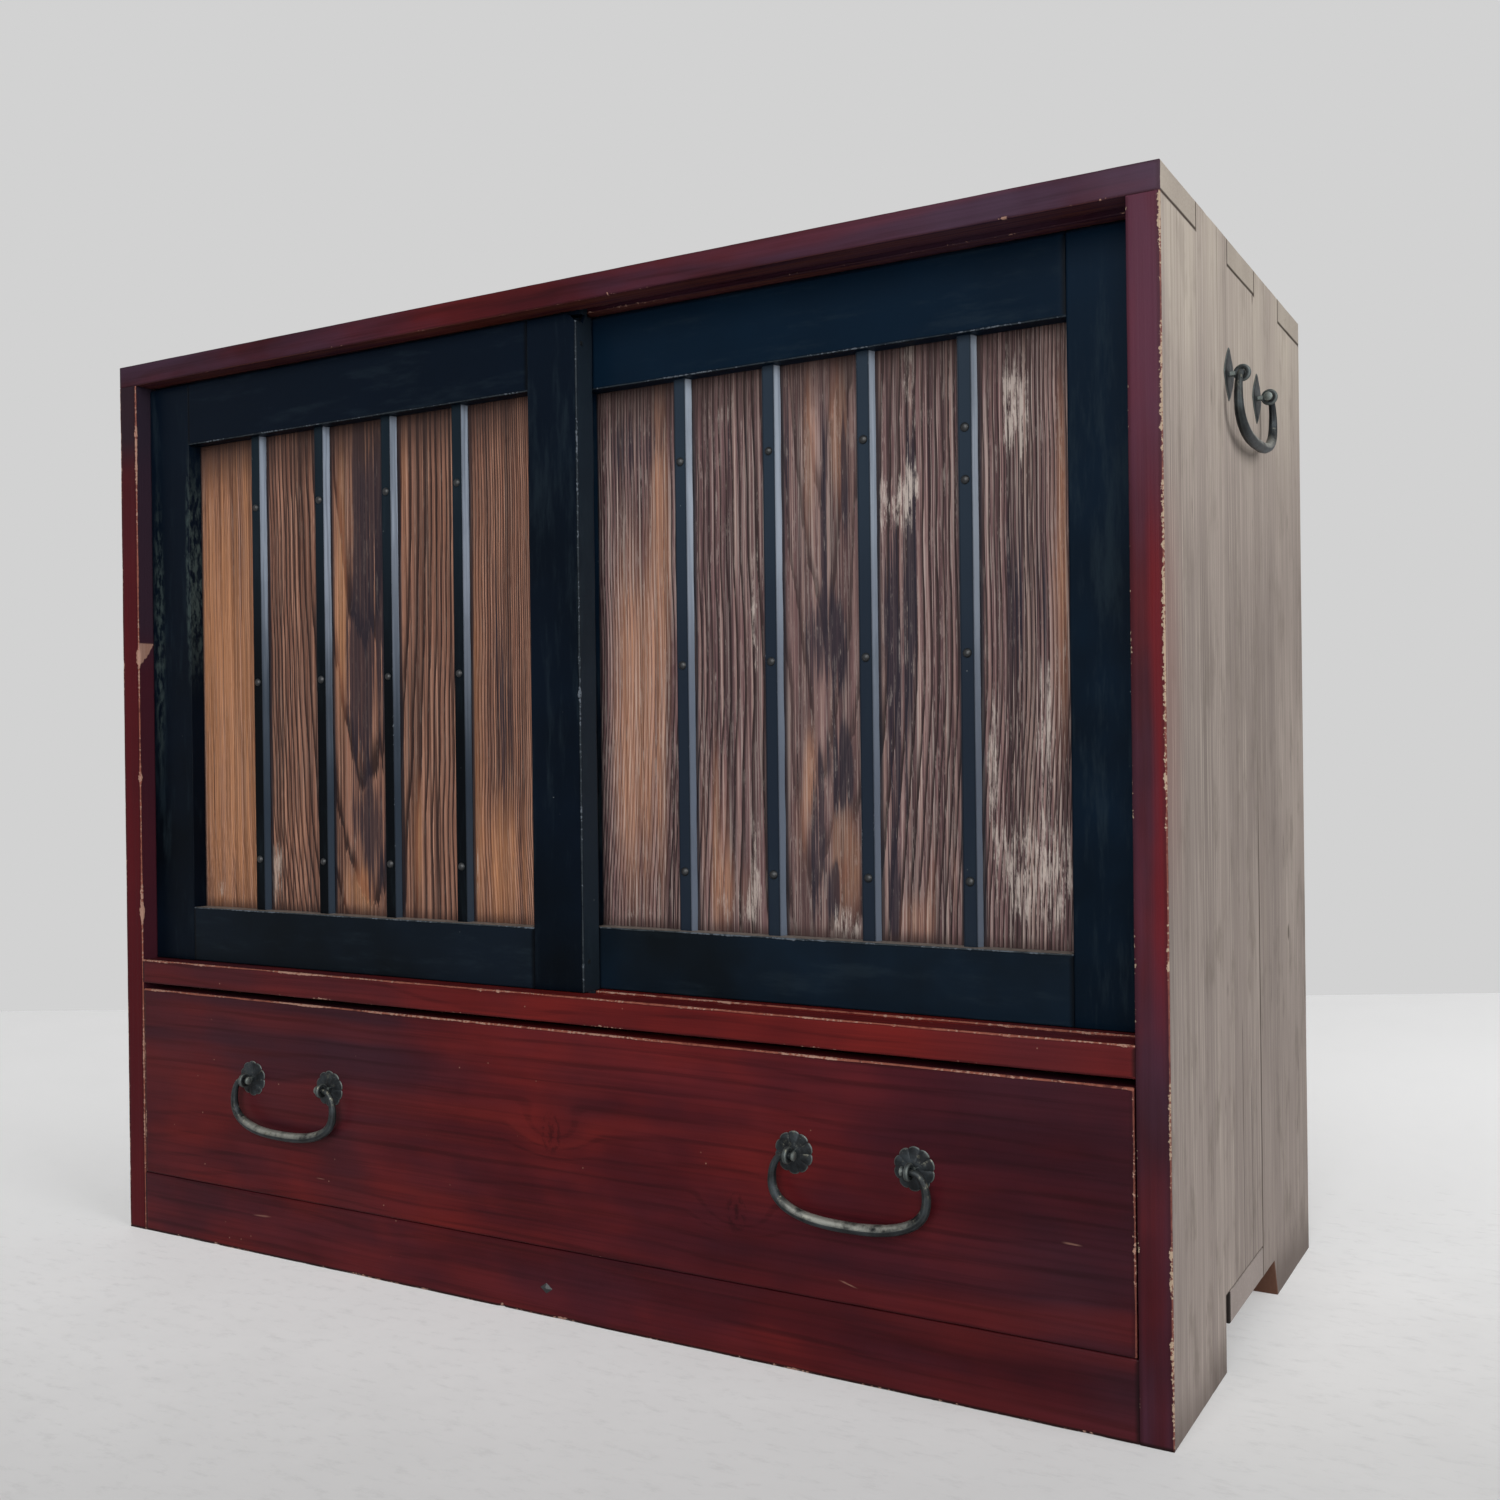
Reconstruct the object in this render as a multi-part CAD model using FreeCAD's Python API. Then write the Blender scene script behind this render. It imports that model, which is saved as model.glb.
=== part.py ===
# Japanese clothing chest: a finger-jointed softwood case with a red lacquered front, two sliding
# doors with barred wood panels, one wide drawer and forged bail handles.
# Millimetres. +Z is up and the front faces -Y. The origin is on the floor, under the middle of the
# space that the chest and its handles take up.
import FreeCAD
import Part
import math
import os

Vector = FreeCAD.Vector

# Case
case_width = 910.0
case_depth = 415.0
case_height = 750.0
side_thickness = 20.5
top_thickness = 18.0
finger_count = 5
side_board_joint = 243.0        # from the front, where the two boards of a side meet
arris = 0.8                     # planed and worn edge of the visible boards

# Bottom board, apron and feet
apron_height = 50.0
apron_thickness = 20.0
bottom_thickness = 21.5
front_foot_depth = 130.0
rear_foot_start = 293.0         # on the floor; the foot leans forwards from here
rear_foot_lean = 11.5
tab_start = 141.0               # the through tab starts behind an open slot
apron_nail_height = 20.7
apron_nail_width = 11.0
apron_nail_proud = 1.4

# Back boards
back_thickness = 8.0
back_rabbet = 8.5
back_rabbet_width = 10.0
back_board_count = 5
back_lap = 9.0

# Sill between the doors and the drawer, and the floor of the cupboard
sill_top = 234.5
sill_thickness = 20.0
sill_depth = 66.0
sill_tenon_length = 8.0
sill_tenon_rise = 4.0
sill_tenon_drop = 6.0
floor_thickness = 10.0
floor_drop = 3.0                # the floor lies this far under the top of the sill
floor_ledge = 9.0
cleat_size = 12.0

# Door tracks
door_thickness = 20.5
front_track = 14.5              # from the case front to the face of the left door
door_gap = 2.2
groove_width = 10.0
sill_groove_depth = 4.0
top_groove_depth = 8.0
track_play = 0.3
chip_width = 7.0                # broken corner at the top right of the left door
chip_height = 6.0
chip_depth = 9.0

# Doors
door_width = 459.9
door_side_play = 0.8
door_shoulder_play = 0.5
door_face_top = 729.5
top_tongue = 6.5
outer_stile = 48.0
meeting_stile = 45.0
opening_bottom = 280.5
opening_top = 677.5
panel_recess = 13.5
panel_thickness = 7.0
panel_rabbet = 8.0
tenon_thickness = 7.0
tenon_length = 28.0
bar_base = 14.0
bar_face = 9.5
bar_height = 6.5
bar_pitch = 73.0
left_door_bar_shift = -0.5      # middle of the bars, from the middle of the opening
right_door_bar_shift = 3.0
bar_nail_heights = (618.0, 471.5, 323.0)
spare_nail_height = 584.0       # one extra nail in the last bar of the right door
nail_head = ((3.3, 0.0), (2.8, 1.3), (1.2, 2.2))    # radius, height over the bar
nail_shank = 1.9
nail_shank_length = 11.0
tenon_nail_heights = (708.0, 257.0)
tenon_nail_radius = 1.7
tenon_nail_length = 34.0
tenon_nail_proud = 0.3

# Drawer
drawer_bottom_z = 50.5
drawer_top_z = 209.5
drawer_depth = 383.0
drawer_front_thickness = 20.0
drawer_side_play = 1.0
drawer_wall = 11.0
drawer_front_lip = 8.0
drawer_floor_thickness = 8.0
drawer_side_top = 204.0
drawer_back_top = 198.0
drawer_stop_gap = 0.5
drawer_travel = 300.0
stop_length = 45.0
stop_depth = 18.0
stop_height = 22.0

# Wooden pegs
peg_size = 3.6
peg_length = 24.0
peg_proud = 0.3
back_side_peg_heights = (110.0, 290.0, 470.0, 650.0)

# Handles
eye_pitch = 86.5
eye_stand_off = 9.2             # from the face to the hinge line of the bail
eye_outer = 5.8
eye_inner = 2.6
eye_width = 3.2
eye_chamfer = 0.7
eye_shank = 3.3                 # the two legs side by side, square in section
eye_hole_radius = 2.4
leg_thickness = 1.5
leg_reach = 13.0
bail_half_width = 55.2          # middle of the bar, at its widest
bail_shoulder_drop = 16.0
bail_drop = 41.0
bail_tip_radius = 2.2
bail_belly_radius = 4.0
bail_bead_radius = 3.1
bail_bead_length = 2.8
bail_straight = 3.2             # straight stretch each side of an eye
bail_squareness = 2.5           # 2 is an ellipse, more is squarer
washer_radius = 14.2
washer_notch_radius = 12.9
washer_lobes = 10
washer_lobe_steps = 3
washer_rim = 0.9
washer_crown = 2.4
washer_crown_radius = 7.0
plate_width = 27.0
plate_height = 36.0
plate_thickness = 1.4
drawer_handle_centres = (-257.0, 249.5)
drawer_eye_z = 144.5
side_eye_z = 658.5
side_handle_depth = 209.5       # from the case front to the middle of the side handle

# Derived places
handle_reach = eye_stand_off + eye_outer
front = -(case_depth - handle_reach) / 2
back = front + case_depth
half = case_width / 2
inner = half - side_thickness
underside = case_height - top_thickness
sill_bottom = sill_top - sill_thickness
floor_top = sill_top - floor_drop
floor_bottom = floor_top - floor_thickness
bottom_low = apron_height - bottom_thickness
finger = case_depth / finger_count
rear_track = front_track + door_thickness + door_gap


def box(x0, x1, y0, y1, z0, z1):
    return Part.makeBox(x1 - x0, y1 - y0, z1 - z0, Vector(x0, y0, z0))


def outline(points):
    return Part.makePolygon(points + points[:1])


def polygon(sides, radius, y):
    """Regular outline in a plane square to Y, two of its sides level; radius is to the corners."""
    turns = [2 * math.pi * (n + 0.5) / sides for n in range(sides)]
    return outline([Vector(radius * math.cos(t), y, radius * math.sin(t)) for t in turns])


def depth(t):
    """A distance behind the case front, as a Y coordinate."""
    return front + t


def edges_at(shape, axis, value):
    """Edges that lie wholly in the plane where one coordinate has this value."""
    return [e for e in shape.Edges
            if all(abs(getattr(v.Point, axis) - value) < 1e-4 for v in e.Vertexes)]


def ease(shape, size, *planes):
    """Takes the sharp arris off every edge of the faces that lie in these planes."""
    picked = []
    for axis, value in planes:
        for edge in edges_at(shape, axis, value):
            if edge.Length > 3 * size and not any(edge.isSame(p) for p in picked):
                picked.append(edge)
    return shape.makeChamfer(size, picked)


def mirrored(shape):
    return shape.mirror(Vector(0, 0, 0), Vector(1, 0, 0))


def peg(point, direction, length=peg_length):
    """A square tapered wooden peg, from its head at point, along direction."""
    way = Vector(*direction)
    side = Vector(0, 0, 1).cross(way) if abs(way.z) < 0.5 else Vector(1, 0, 0)
    up = way.cross(side)
    wires = []
    for distance, width in ((0, peg_size), (length, 0.6 * peg_size)):
        middle = point + way * distance
        corners = [middle + side * (a * width / 2) + up * (b * width / 2)
                   for a, b in ((-1, -1), (1, -1), (1, 1), (-1, 1))]
        wires.append(outline(corners))
    return Part.makeLoft(wires, True, True)


def pin_hole(thickness):
    """Eight-sided hole for the shank of an eye pin, through a piece in front of the face y = 0."""
    return Part.Face(polygon(8, eye_hole_radius / math.cos(math.pi / 8), 0)).extrude(
        Vector(0, -thickness, 0))


# The case

def top_board():
    """Runs over both sides: its end tabs fill every other finger, and two grooves guide the doors."""
    board = box(-half, half, front, back, underside, case_height)
    for number in range(1, finger_count, 2):
        low, high = depth(number * finger), depth((number + 1) * finger)
        board = board.cut(box(-half, -inner, low, high, underside, case_height))
        board = board.cut(box(inner, half, low, high, underside, case_height))
    for track in (front_track, rear_track):
        middle = depth(track + door_thickness / 2)
        board = board.cut(box(-inner, inner, middle - groove_width / 2, middle + groove_width / 2,
                              underside, underside + top_groove_depth))
    edge = inner + back_rabbet_width
    board = board.cut(box(-edge, edge, back - back_rabbet, back,
                          underside, underside + back_rabbet_width))
    return ease(board, arris, ("y", front), ("z", case_height), ("x", half), ("x", -half))


def top_pegs():
    """Two pegs down through each end tab of the top into the side below it."""
    pegs = []
    for number in range(0, finger_count, 2):
        for share in (0.25, 0.75):
            place = Vector(half - side_thickness / 2, depth((number + share) * finger),
                           case_height + peg_proud - arris)
            pegs.append(peg(place, (0, 0, -1), 2 * peg_length))
    return Part.makeCompound(pegs + [mirrored(p) for p in pegs])


def foot_arch():
    """The cut-out between the feet of the right side; the rear foot leans forwards over it."""
    corners = [Vector(inner, depth(front_foot_depth), 0),
               Vector(inner, depth(rear_foot_start), 0),
               Vector(inner, depth(rear_foot_start - rear_foot_lean), bottom_low),
               Vector(inner, depth(front_foot_depth), bottom_low)]
    return Part.Face(outline(corners)).extrude(Vector(side_thickness, 0, 0))


def side_board(first, last):
    """One of the two upright boards of the right side, between two distances from the front."""
    board = box(inner, half, depth(first), depth(last), 0, case_height)
    for number in range(0, finger_count, 2):
        low, high = max(first, number * finger), min(last, (number + 1) * finger)
        if high > low:
            board = board.cut(box(inner, half, depth(low), depth(high), underside, case_height))
    board = board.cut(foot_arch())
    tab_last = min(last, side_board_joint)
    if tab_last > front_foot_depth:
        board = board.cut(box(inner, half, depth(front_foot_depth), depth(tab_last),
                              bottom_low, apron_height))
    if first == 0:
        board = board.cut(sill_tenons())
    if last == case_depth:
        board = board.cut(box(inner, inner + back_rabbet_width, back - back_rabbet, back,
                              bottom_low, underside + back_rabbet_width))
    for eye in (-eye_pitch / 2, eye_pitch / 2):
        place = side_handle_depth + eye
        if first < place < last:
            hole = pin_hole(side_thickness)
            hole.rotate(Vector(0, 0, 0), Vector(0, 0, 1), 90)
            hole.translate(Vector(inner, depth(place), side_eye_z))
            board = board.cut(hole)
    planes = [("x", half)]
    if first == 0:
        planes.append(("y", front))
    return ease(board, arris, *planes)


def bottom_board():
    """Lies between the sides behind the apron, and shows a through tab on each side."""
    board = box(-inner, inner, depth(apron_thickness), back - back_rabbet, bottom_low, apron_height)
    tabs = box(-half, half, depth(tab_start), depth(side_board_joint),
               bottom_low, apron_height)
    return ease(board.fuse(tabs).removeSplitter(), arris, ("x", half), ("x", -half))


def apron():
    board = box(-inner, inner, front, depth(apron_thickness), 0, apron_height)
    return ease(board, arris, ("y", front))


def apron_nail():
    """Square forged nail in the middle of the apron, its head hammered to a low pyramid."""
    w = apron_nail_width / 2
    rim = [Vector(w, front, 0), Vector(0, front, 0.7 * w), Vector(-w, front, 0),
           Vector(0, front, -0.7 * w)]
    tip = [Vector(0.25 * v.x, front - apron_nail_proud, 0.25 * v.z) for v in rim]
    head = Part.makeLoft([outline(rim), outline(tip)], True, True)
    nail = head.fuse(box(-nail_shank, nail_shank, front, front + 0.9 * apron_thickness,
                         -nail_shank, nail_shank))
    nail.translate(Vector(0, 0, apron_nail_height))
    return nail


def sill_tenons():
    """Both stub tenons of the sill rail, as one bar from end to end."""
    reach = inner + sill_tenon_length
    return box(-reach, reach, depth(apron_thickness / 2), depth(sill_depth - floor_ledge),
               sill_bottom + sill_tenon_rise, sill_top - sill_tenon_drop)


def sill_rail():
    """The rail under the doors: two grooves on top, a ledge behind and a stub tenon at each end."""
    rail = box(-inner, inner, front, depth(sill_depth), sill_bottom, sill_top)
    rail = rail.fuse(sill_tenons())
    for track in (front_track, rear_track):
        middle = depth(track + door_thickness / 2)
        rail = rail.cut(box(-inner, inner, middle - groove_width / 2, middle + groove_width / 2,
                            sill_top - sill_groove_depth, sill_top))
    rail = rail.cut(box(-inner, inner, depth(sill_depth - floor_ledge), depth(sill_depth),
                        floor_bottom, sill_top))
    return ease(rail.removeSplitter(), arris, ("y", front))


def cupboard_floor():
    return box(-inner, inner, depth(sill_depth - floor_ledge), back - back_rabbet,
               floor_bottom, floor_top)


def floor_cleats():
    """A batten on each side carries the cupboard floor."""
    right = box(inner - cleat_size, inner, depth(sill_depth), back - back_rabbet,
                floor_bottom - cleat_size, floor_bottom)
    return Part.makeCompound([right, mirrored(right)])


def back_board(number):
    """Upright back board, half-lapped over the next one."""
    edge = inner + back_rabbet_width
    width = 2 * edge / back_board_count
    x0 = -edge + number * width
    x1 = x0 + width
    y0, y1 = back - back_rabbet, back - back_rabbet + back_thickness
    middle = (y0 + y1) / 2
    z0, z1 = bottom_low, underside + back_rabbet_width
    board = box(x0, x1, y0, y1, z0, z1)
    if number < back_board_count - 1:
        board = board.fuse(box(x1, x1 + back_lap, middle, y1, z0, z1))
    if number > 0:
        board = board.cut(box(x0, x0 + back_lap, middle, y1, z0, z1))
    return ease(board.removeSplitter(), 0.5, ("y", y1))


def back_pegs():
    """Pegs round the back boards, into the bottom, the top and both sides."""
    edge = inner + back_rabbet_width
    width = 2 * edge / back_board_count
    head_y = back - back_rabbet + back_thickness + peg_proud
    places = [(x, z) for x in (-edge + back_rabbet_width / 2, edge - back_rabbet_width / 2)
              for z in back_side_peg_heights]
    for number in range(back_board_count):
        for share in (0.2, 0.5, 0.8):
            x = -edge + (number + share) * width
            places.append((x, (bottom_low + apron_height) / 2))
            places.append((x, underside + back_rabbet_width / 2))
    return Part.makeCompound([peg(Vector(x, head_y, z), (0, -1, 0)) for x, z in places])


def drawer_stops():
    """A block at each side behind the drawer keeps its front flush."""
    y0 = depth(drawer_depth + drawer_stop_gap)
    right = box(inner - stop_length, inner, y0, y0 + stop_depth,
                apron_height, apron_height + stop_height)
    return Part.makeCompound([right, mirrored(right)])


# The doors. A door is drawn in its own place: x0 is its left edge and track its face.

def door_slab(x0, x1, track, z0, z1, low_tongue, high_tongue):
    """A frame member with the tongues that run in the sill and in the top board."""
    face, rear = depth(track), depth(track + door_thickness)
    middle = (face + rear) / 2
    tongue = groove_width / 2 - track_play
    member = box(x0, x1, face, rear, z0, z1)
    if low_tongue:
        low = sill_top - sill_groove_depth + track_play
        member = member.fuse(box(x0, x1, middle - tongue, middle + tongue, low, z0))
    if high_tongue:
        member = member.fuse(box(x0, x1, middle - tongue, middle + tongue, z1, z1 + top_tongue))
    return member.removeSplitter()


def tenon(x0, x1, track, z0, z1):
    y0 = depth(track + (panel_recess - tenon_thickness) / 2)
    return box(x0, x1, y0, y0 + tenon_thickness, z0, z1)


def door_frame(x0, track, left_stile, right_stile):
    """Full-height stiles, with the rails tenoned between them and a rabbet behind for the panel."""
    x1 = x0 + door_width
    a, b = x0 + left_stile, x1 - right_stile
    low, high = sill_top + door_shoulder_play, door_face_top
    rabbet_y = (depth(track + panel_recess), depth(track + door_thickness))
    rabbet = box(a - panel_rabbet, b + panel_rabbet, *rabbet_y,
                 opening_bottom - panel_rabbet, opening_top + panel_rabbet)
    upper = tenon(a - tenon_length, b + tenon_length, track, opening_top + 8, high - 8)
    lower = tenon(a - tenon_length, b + tenon_length, track, low + 6, opening_bottom - 6)
    face = depth(track)
    frame = {}
    for name, first, last in (("left_stile", x0, a), ("right_stile", b, x1)):
        stile = door_slab(first, last, track, low, high, True, True)
        stile = stile.cut(rabbet).cut(upper).cut(lower)
        frame[name] = ease(stile, arris, ("y", face))
    top = door_slab(a, b, track, opening_top, high, False, True).fuse(upper).cut(rabbet)
    frame["top_rail"] = ease(top.removeSplitter(), arris / 2, ("y", face))
    bottom = door_slab(a, b, track, low, opening_bottom, True, False).fuse(lower).cut(rabbet)
    frame["bottom_rail"] = ease(bottom.removeSplitter(), arris / 2, ("y", face))
    frame["panel"] = box(a - panel_rabbet + 0.3, b + panel_rabbet - 0.3,
                         depth(track + panel_recess),
                         depth(track + panel_recess + panel_thickness),
                         opening_bottom - panel_rabbet + 0.3, opening_top + panel_rabbet - 0.3)
    return frame


def bar(x, track):
    """A bevelled bar on the panel, from the bottom rail to the top rail."""
    base = depth(track + panel_recess)
    crown = base - bar_height
    corners = [Vector(x - bar_base / 2, base, opening_bottom),
               Vector(x + bar_base / 2, base, opening_bottom),
               Vector(x + bar_face / 2, crown, opening_bottom),
               Vector(x - bar_face / 2, crown, opening_bottom)]
    return Part.Face(outline(corners)).extrude(Vector(0, 0, opening_top - opening_bottom))


def bar_nail(x, y, z):
    """A forged nail driven in along +Y: its round head is hammered to eight facets."""
    head = Part.makeLoft([polygon(8, radius, -rise) for radius, rise in nail_head], True, True)
    w = nail_shank / 2
    nail = head.fuse(box(-w, w, 0, nail_shank_length, -w, w))
    nail.translate(Vector(x, y, z))
    return nail


def door_chip(x, track):
    """The splinter lost from the front of a door's top right corner."""
    top = door_face_top
    corners = [Vector(x, depth(track), top), Vector(x - chip_width, depth(track), top),
               Vector(x, depth(track), top - chip_height)]
    return Part.Face(outline(corners)).extrude(Vector(0, chip_depth, 0))


def bar_places(x0, left_stile, right_stile, shift):
    middle = (x0 + left_stile + x0 + door_width - right_stile) / 2 + shift
    return [middle + (n - 1.5) * bar_pitch for n in range(4)]


def door(side):
    """Every piece of one door, by node name."""
    if side == "left":
        x0, track = -inner + door_side_play, front_track
        stiles, shift = (outer_stile, meeting_stile), left_door_bar_shift
    else:
        x0, track = inner - door_side_play - door_width, rear_track
        stiles, shift = (meeting_stile, outer_stile), right_door_bar_shift
    pieces = {f"{side}_door_{name}": shape
              for name, shape in door_frame(x0, track, *stiles).items()}
    if side == "left":
        stile = pieces["left_door_right_stile"]
        pieces["left_door_right_stile"] = stile.cut(door_chip(x0 + door_width, track))
    places = bar_places(x0, *stiles, shift)
    nail_y = depth(track + panel_recess) - bar_height
    nails = [bar_nail(x, nail_y, z) for x in places for z in bar_nail_heights]
    if side == "right":
        nails.append(bar_nail(places[-1], nail_y, spare_nail_height))
    for number, x in enumerate(places, 1):
        pieces[f"{side}_door_bar_{number}"] = bar(x, track)
    pieces[f"{side}_door_bar_nails"] = Part.makeCompound(nails)
    shanks = []
    for x, turn in ((x0 - tenon_nail_proud, -90), (x0 + door_width + tenon_nail_proud, 90)):
        for z in tenon_nail_heights:
            nail = Part.Face(polygon(8, tenon_nail_radius, 0)).extrude(
                Vector(0, tenon_nail_length, 0))
            nail.rotate(Vector(0, 0, 0), Vector(0, 0, 1), turn)
            nail.translate(Vector(x, depth(track + panel_recess / 2), z))
            shanks.append(nail)
    pieces[f"{side}_door_tenon_nails"] = Part.makeCompound(shanks)
    return pieces


# The drawer

drawer_half = inner - drawer_side_play
drawer_side_low = drawer_bottom_z + drawer_floor_thickness
drawer_side_outer = drawer_half - 0.5
drawer_side_inner = drawer_side_outer - drawer_wall


def drawer_front():
    """Thick front: rabbeted behind at both ends for the sides and along the bottom for the floor."""
    board = box(-drawer_half, drawer_half, front, depth(drawer_front_thickness),
                drawer_bottom_z, drawer_top_z)
    lip, rear = depth(drawer_front_lip), depth(drawer_front_thickness)
    for x0, x1 in ((-drawer_half, -drawer_side_inner), (drawer_side_inner, drawer_half)):
        board = board.cut(box(x0, x1, lip, rear, drawer_bottom_z, drawer_top_z))
    board = board.cut(box(-drawer_half, drawer_half, lip, rear, drawer_bottom_z, drawer_side_low))
    for middle in drawer_handle_centres:
        for eye in (-eye_pitch / 2, eye_pitch / 2):
            hole = pin_hole(drawer_front_thickness)
            hole.translate(Vector(middle + eye, rear, drawer_eye_z))
            board = board.cut(hole)
    return ease(board, arris + 0.4, ("y", front))


def drawer_finger():
    """Height of the middle finger, where the drawer back passes through the sides."""
    third = (drawer_back_top - drawer_side_low) / 3
    return drawer_side_low + third, drawer_side_low + 2 * third


def drawer_side():
    """The right side. Its rear end is notched for the finger of the drawer back."""
    board = box(drawer_side_inner, drawer_side_outer, depth(drawer_front_lip), depth(drawer_depth),
                drawer_side_low, drawer_side_top)
    rear = depth(drawer_depth - drawer_wall)
    low, high = drawer_finger()
    board = board.cut(box(drawer_side_inner, drawer_side_outer, rear, depth(drawer_depth),
                          low, high))
    return ease(board, arris, ("z", drawer_side_top))


def drawer_back():
    rear = depth(drawer_depth)
    low, high = drawer_finger()
    board = box(-drawer_side_inner, drawer_side_inner, rear - drawer_wall, rear,
                drawer_side_low, drawer_back_top)
    tabs = box(-drawer_side_outer, drawer_side_outer, rear - drawer_wall, rear, low, high)
    return ease(board.fuse(tabs).removeSplitter(), arris, ("z", drawer_back_top))


def drawer_floor():
    return box(-drawer_side_outer, drawer_side_outer, depth(drawer_front_lip), depth(drawer_depth),
               drawer_bottom_z, drawer_side_low)


def drawer_pegs():
    """Pegs through the floor into the sides, and through the sides into the front."""
    x = drawer_side_outer - drawer_wall / 2
    run = drawer_depth - drawer_front_thickness
    pegs = []
    for number in range(5):
        y = depth(drawer_front_thickness + run * (number + 0.5) / 5)
        pegs.append(peg(Vector(x, y, drawer_bottom_z), (0, 0, 1)))
    y = depth((drawer_front_lip + drawer_front_thickness) / 2)
    for z in (82.0, 131.0, 180.0):
        pegs.append(peg(Vector(drawer_side_outer + peg_proud, y, z), (-1, 0, 0)))
    return Part.makeCompound(pegs + [mirrored(p) for p in pegs])


# Forged handles, drawn hanging in front of a face at y = 0, with the hinge line at z = 0.

def bail_stations():
    """Middle line and radius of the right half, from the eye down to the lowest point."""
    spring = eye_pitch / 2 + bail_straight
    quarter = math.pi / 2
    places = []
    for step in range(4):
        turn = quarter * (1 - step / 3)
        places.append((spring + (bail_half_width - spring) * math.cos(turn),
                       -bail_shoulder_drop * (1 - math.sin(turn))))
    power = 2 / bail_squareness
    lower = bail_drop - bail_shoulder_drop
    for step in range(1, 7):
        turn = quarter * step / 6
        places.append((bail_half_width * math.cos(turn) ** power,
                       -bail_shoulder_drop - lower * math.sin(turn) ** power))
    return [(x, z, bail_tip_radius + (bail_belly_radius - bail_tip_radius)
             * (-z / bail_drop) ** 0.8) for x, z in places]


def bail():
    """Forged bail: eight-sided sections swell from the eyes to the grip, one ruled loft. Each end
    is a round journal through its eye, with an eight-sided head so that it can't slip out."""
    right = bail_stations()
    path = [(-x, z, r) for x, z, r in right[:-1]] + right[::-1]
    wires = []
    for number, (x, z, radius) in enumerate(path):
        before = path[max(number - 1, 0)]
        after = path[min(number + 1, len(path) - 1)]
        tangent = Vector(after[0] - before[0], 0, after[1] - before[1]).normalize()
        if z == 0:
            tangent = Vector(-1, 0, 0)
        across = Vector(0, 1, 0).cross(tangent)
        corners = []
        for side in range(8):
            turn = math.radians(22.5 + 45 * side)
            offset = across * (radius * math.cos(turn)) + Vector(0, radius * math.sin(turn), 0)
            corners.append(Vector(x, -eye_stand_off, z) + offset)
        wires.append(outline(corners))
    ends = []
    for way in (-1, 1):
        spring = Vector(way * (eye_pitch / 2 + bail_straight), -eye_stand_off, 0)
        inwards = Vector(-way, 0, 0)
        ends.append(Part.makeCylinder(bail_tip_radius, 2 * bail_straight, spring, inwards))
        head = Part.Face(polygon(8, bail_bead_radius, 0)).extrude(Vector(0, bail_bead_length, 0))
        head.rotate(Vector(0, 0, 0), Vector(0, 0, 1), 90 * way)
        head.translate(spring + inwards * 2 * bail_straight)
        ends.append(head)
    return Part.makeLoft(wires, True, True).fuse(ends)


def eye_pin(board):
    """Split pin: a twelve-sided eye, its two legs together through a board, and bent flat behind."""
    rim = polygon(12, eye_outer / math.cos(math.pi / 12), -eye_width / 2)
    hole = polygon(12, eye_inner / math.cos(math.pi / 12), -eye_width / 2)
    eye = Part.Face(rim).extrude(Vector(0, eye_width, 0))
    corners = [e for e in eye.Edges if abs(e.Vertexes[0].Y - e.Vertexes[1].Y) < 1e-6]
    eye = eye.makeChamfer(eye_chamfer, corners)
    eye = eye.cut(Part.Face(hole).extrude(Vector(0, eye_width, 0)))
    eye.rotate(Vector(0, 0, 0), Vector(0, 0, 1), 90)
    eye.translate(Vector(0, -eye_stand_off, 0))
    w = eye_shank / 2
    start = -eye_stand_off + (eye_inner + eye_outer) / 2
    shank = box(-w, w, start, board + leg_thickness, -w, w)
    legs = box(-w, w, board, board + leg_thickness, -leg_reach, leg_reach)
    return eye.fuse([shank, legs]).removeSplitter()


def scalloped_washer():
    """Flower washer: fluted lobes round a flat crown, with a hole for the pin."""
    steps = washer_lobes * washer_lobe_steps

    def lobed(low, high, y):
        points = []
        for step in range(steps):
            turn = 2 * math.pi * step / steps
            swell = abs(math.sin(turn * washer_lobes / 2)) ** 0.6
            radius = low + (high - low) * swell
            points.append(Vector(radius * math.cos(turn), y, radius * math.sin(turn)))
        return outline(points)

    washer = Part.makeLoft([lobed(washer_notch_radius, washer_radius, 0),
                            lobed(washer_notch_radius, washer_radius, -washer_rim),
                            lobed(washer_crown_radius, washer_crown_radius, -washer_crown)],
                           True, True)
    return washer.cut(pin_hole(washer_crown))


def lozenge_plate():
    """Pointed plate behind a side eye, its four edges bowed outwards."""
    w, h = plate_width / 2, plate_height / 2
    tips = [Vector(w, 0, 0), Vector(0, 0, h), Vector(-w, 0, 0), Vector(0, 0, -h)]
    edges = []
    for number, tip in enumerate(tips):
        following = tips[(number + 1) % 4]
        edges.append(Part.Arc(tip, (tip + following) * 0.56, following).toShape())
    blank = Part.Face(Part.Wire(edges)).extrude(Vector(0, -plate_thickness, 0))
    return blank.cut(pin_hole(plate_thickness))


def pair(make):
    """Two of the same, one at each eye."""
    copies = []
    for eye in (-eye_pitch / 2, eye_pitch / 2):
        copy = make.copy()
        copy.translate(Vector(eye, 0, 0))
        copies.append(copy)
    return copies


def on_drawer(shape, middle):
    placed = shape.copy()
    placed.translate(Vector(middle, front, drawer_eye_z))
    return placed


def on_side(shape, side):
    """Turns a handle piece to face outwards from the left or right side of the case."""
    placed = shape.copy()
    placed.rotate(Vector(0, 0, 0), Vector(0, 0, 1), 90 if side == "right" else -90)
    placed.translate(Vector(half if side == "right" else -half, depth(side_handle_depth),
                            side_eye_z))
    return placed


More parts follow.
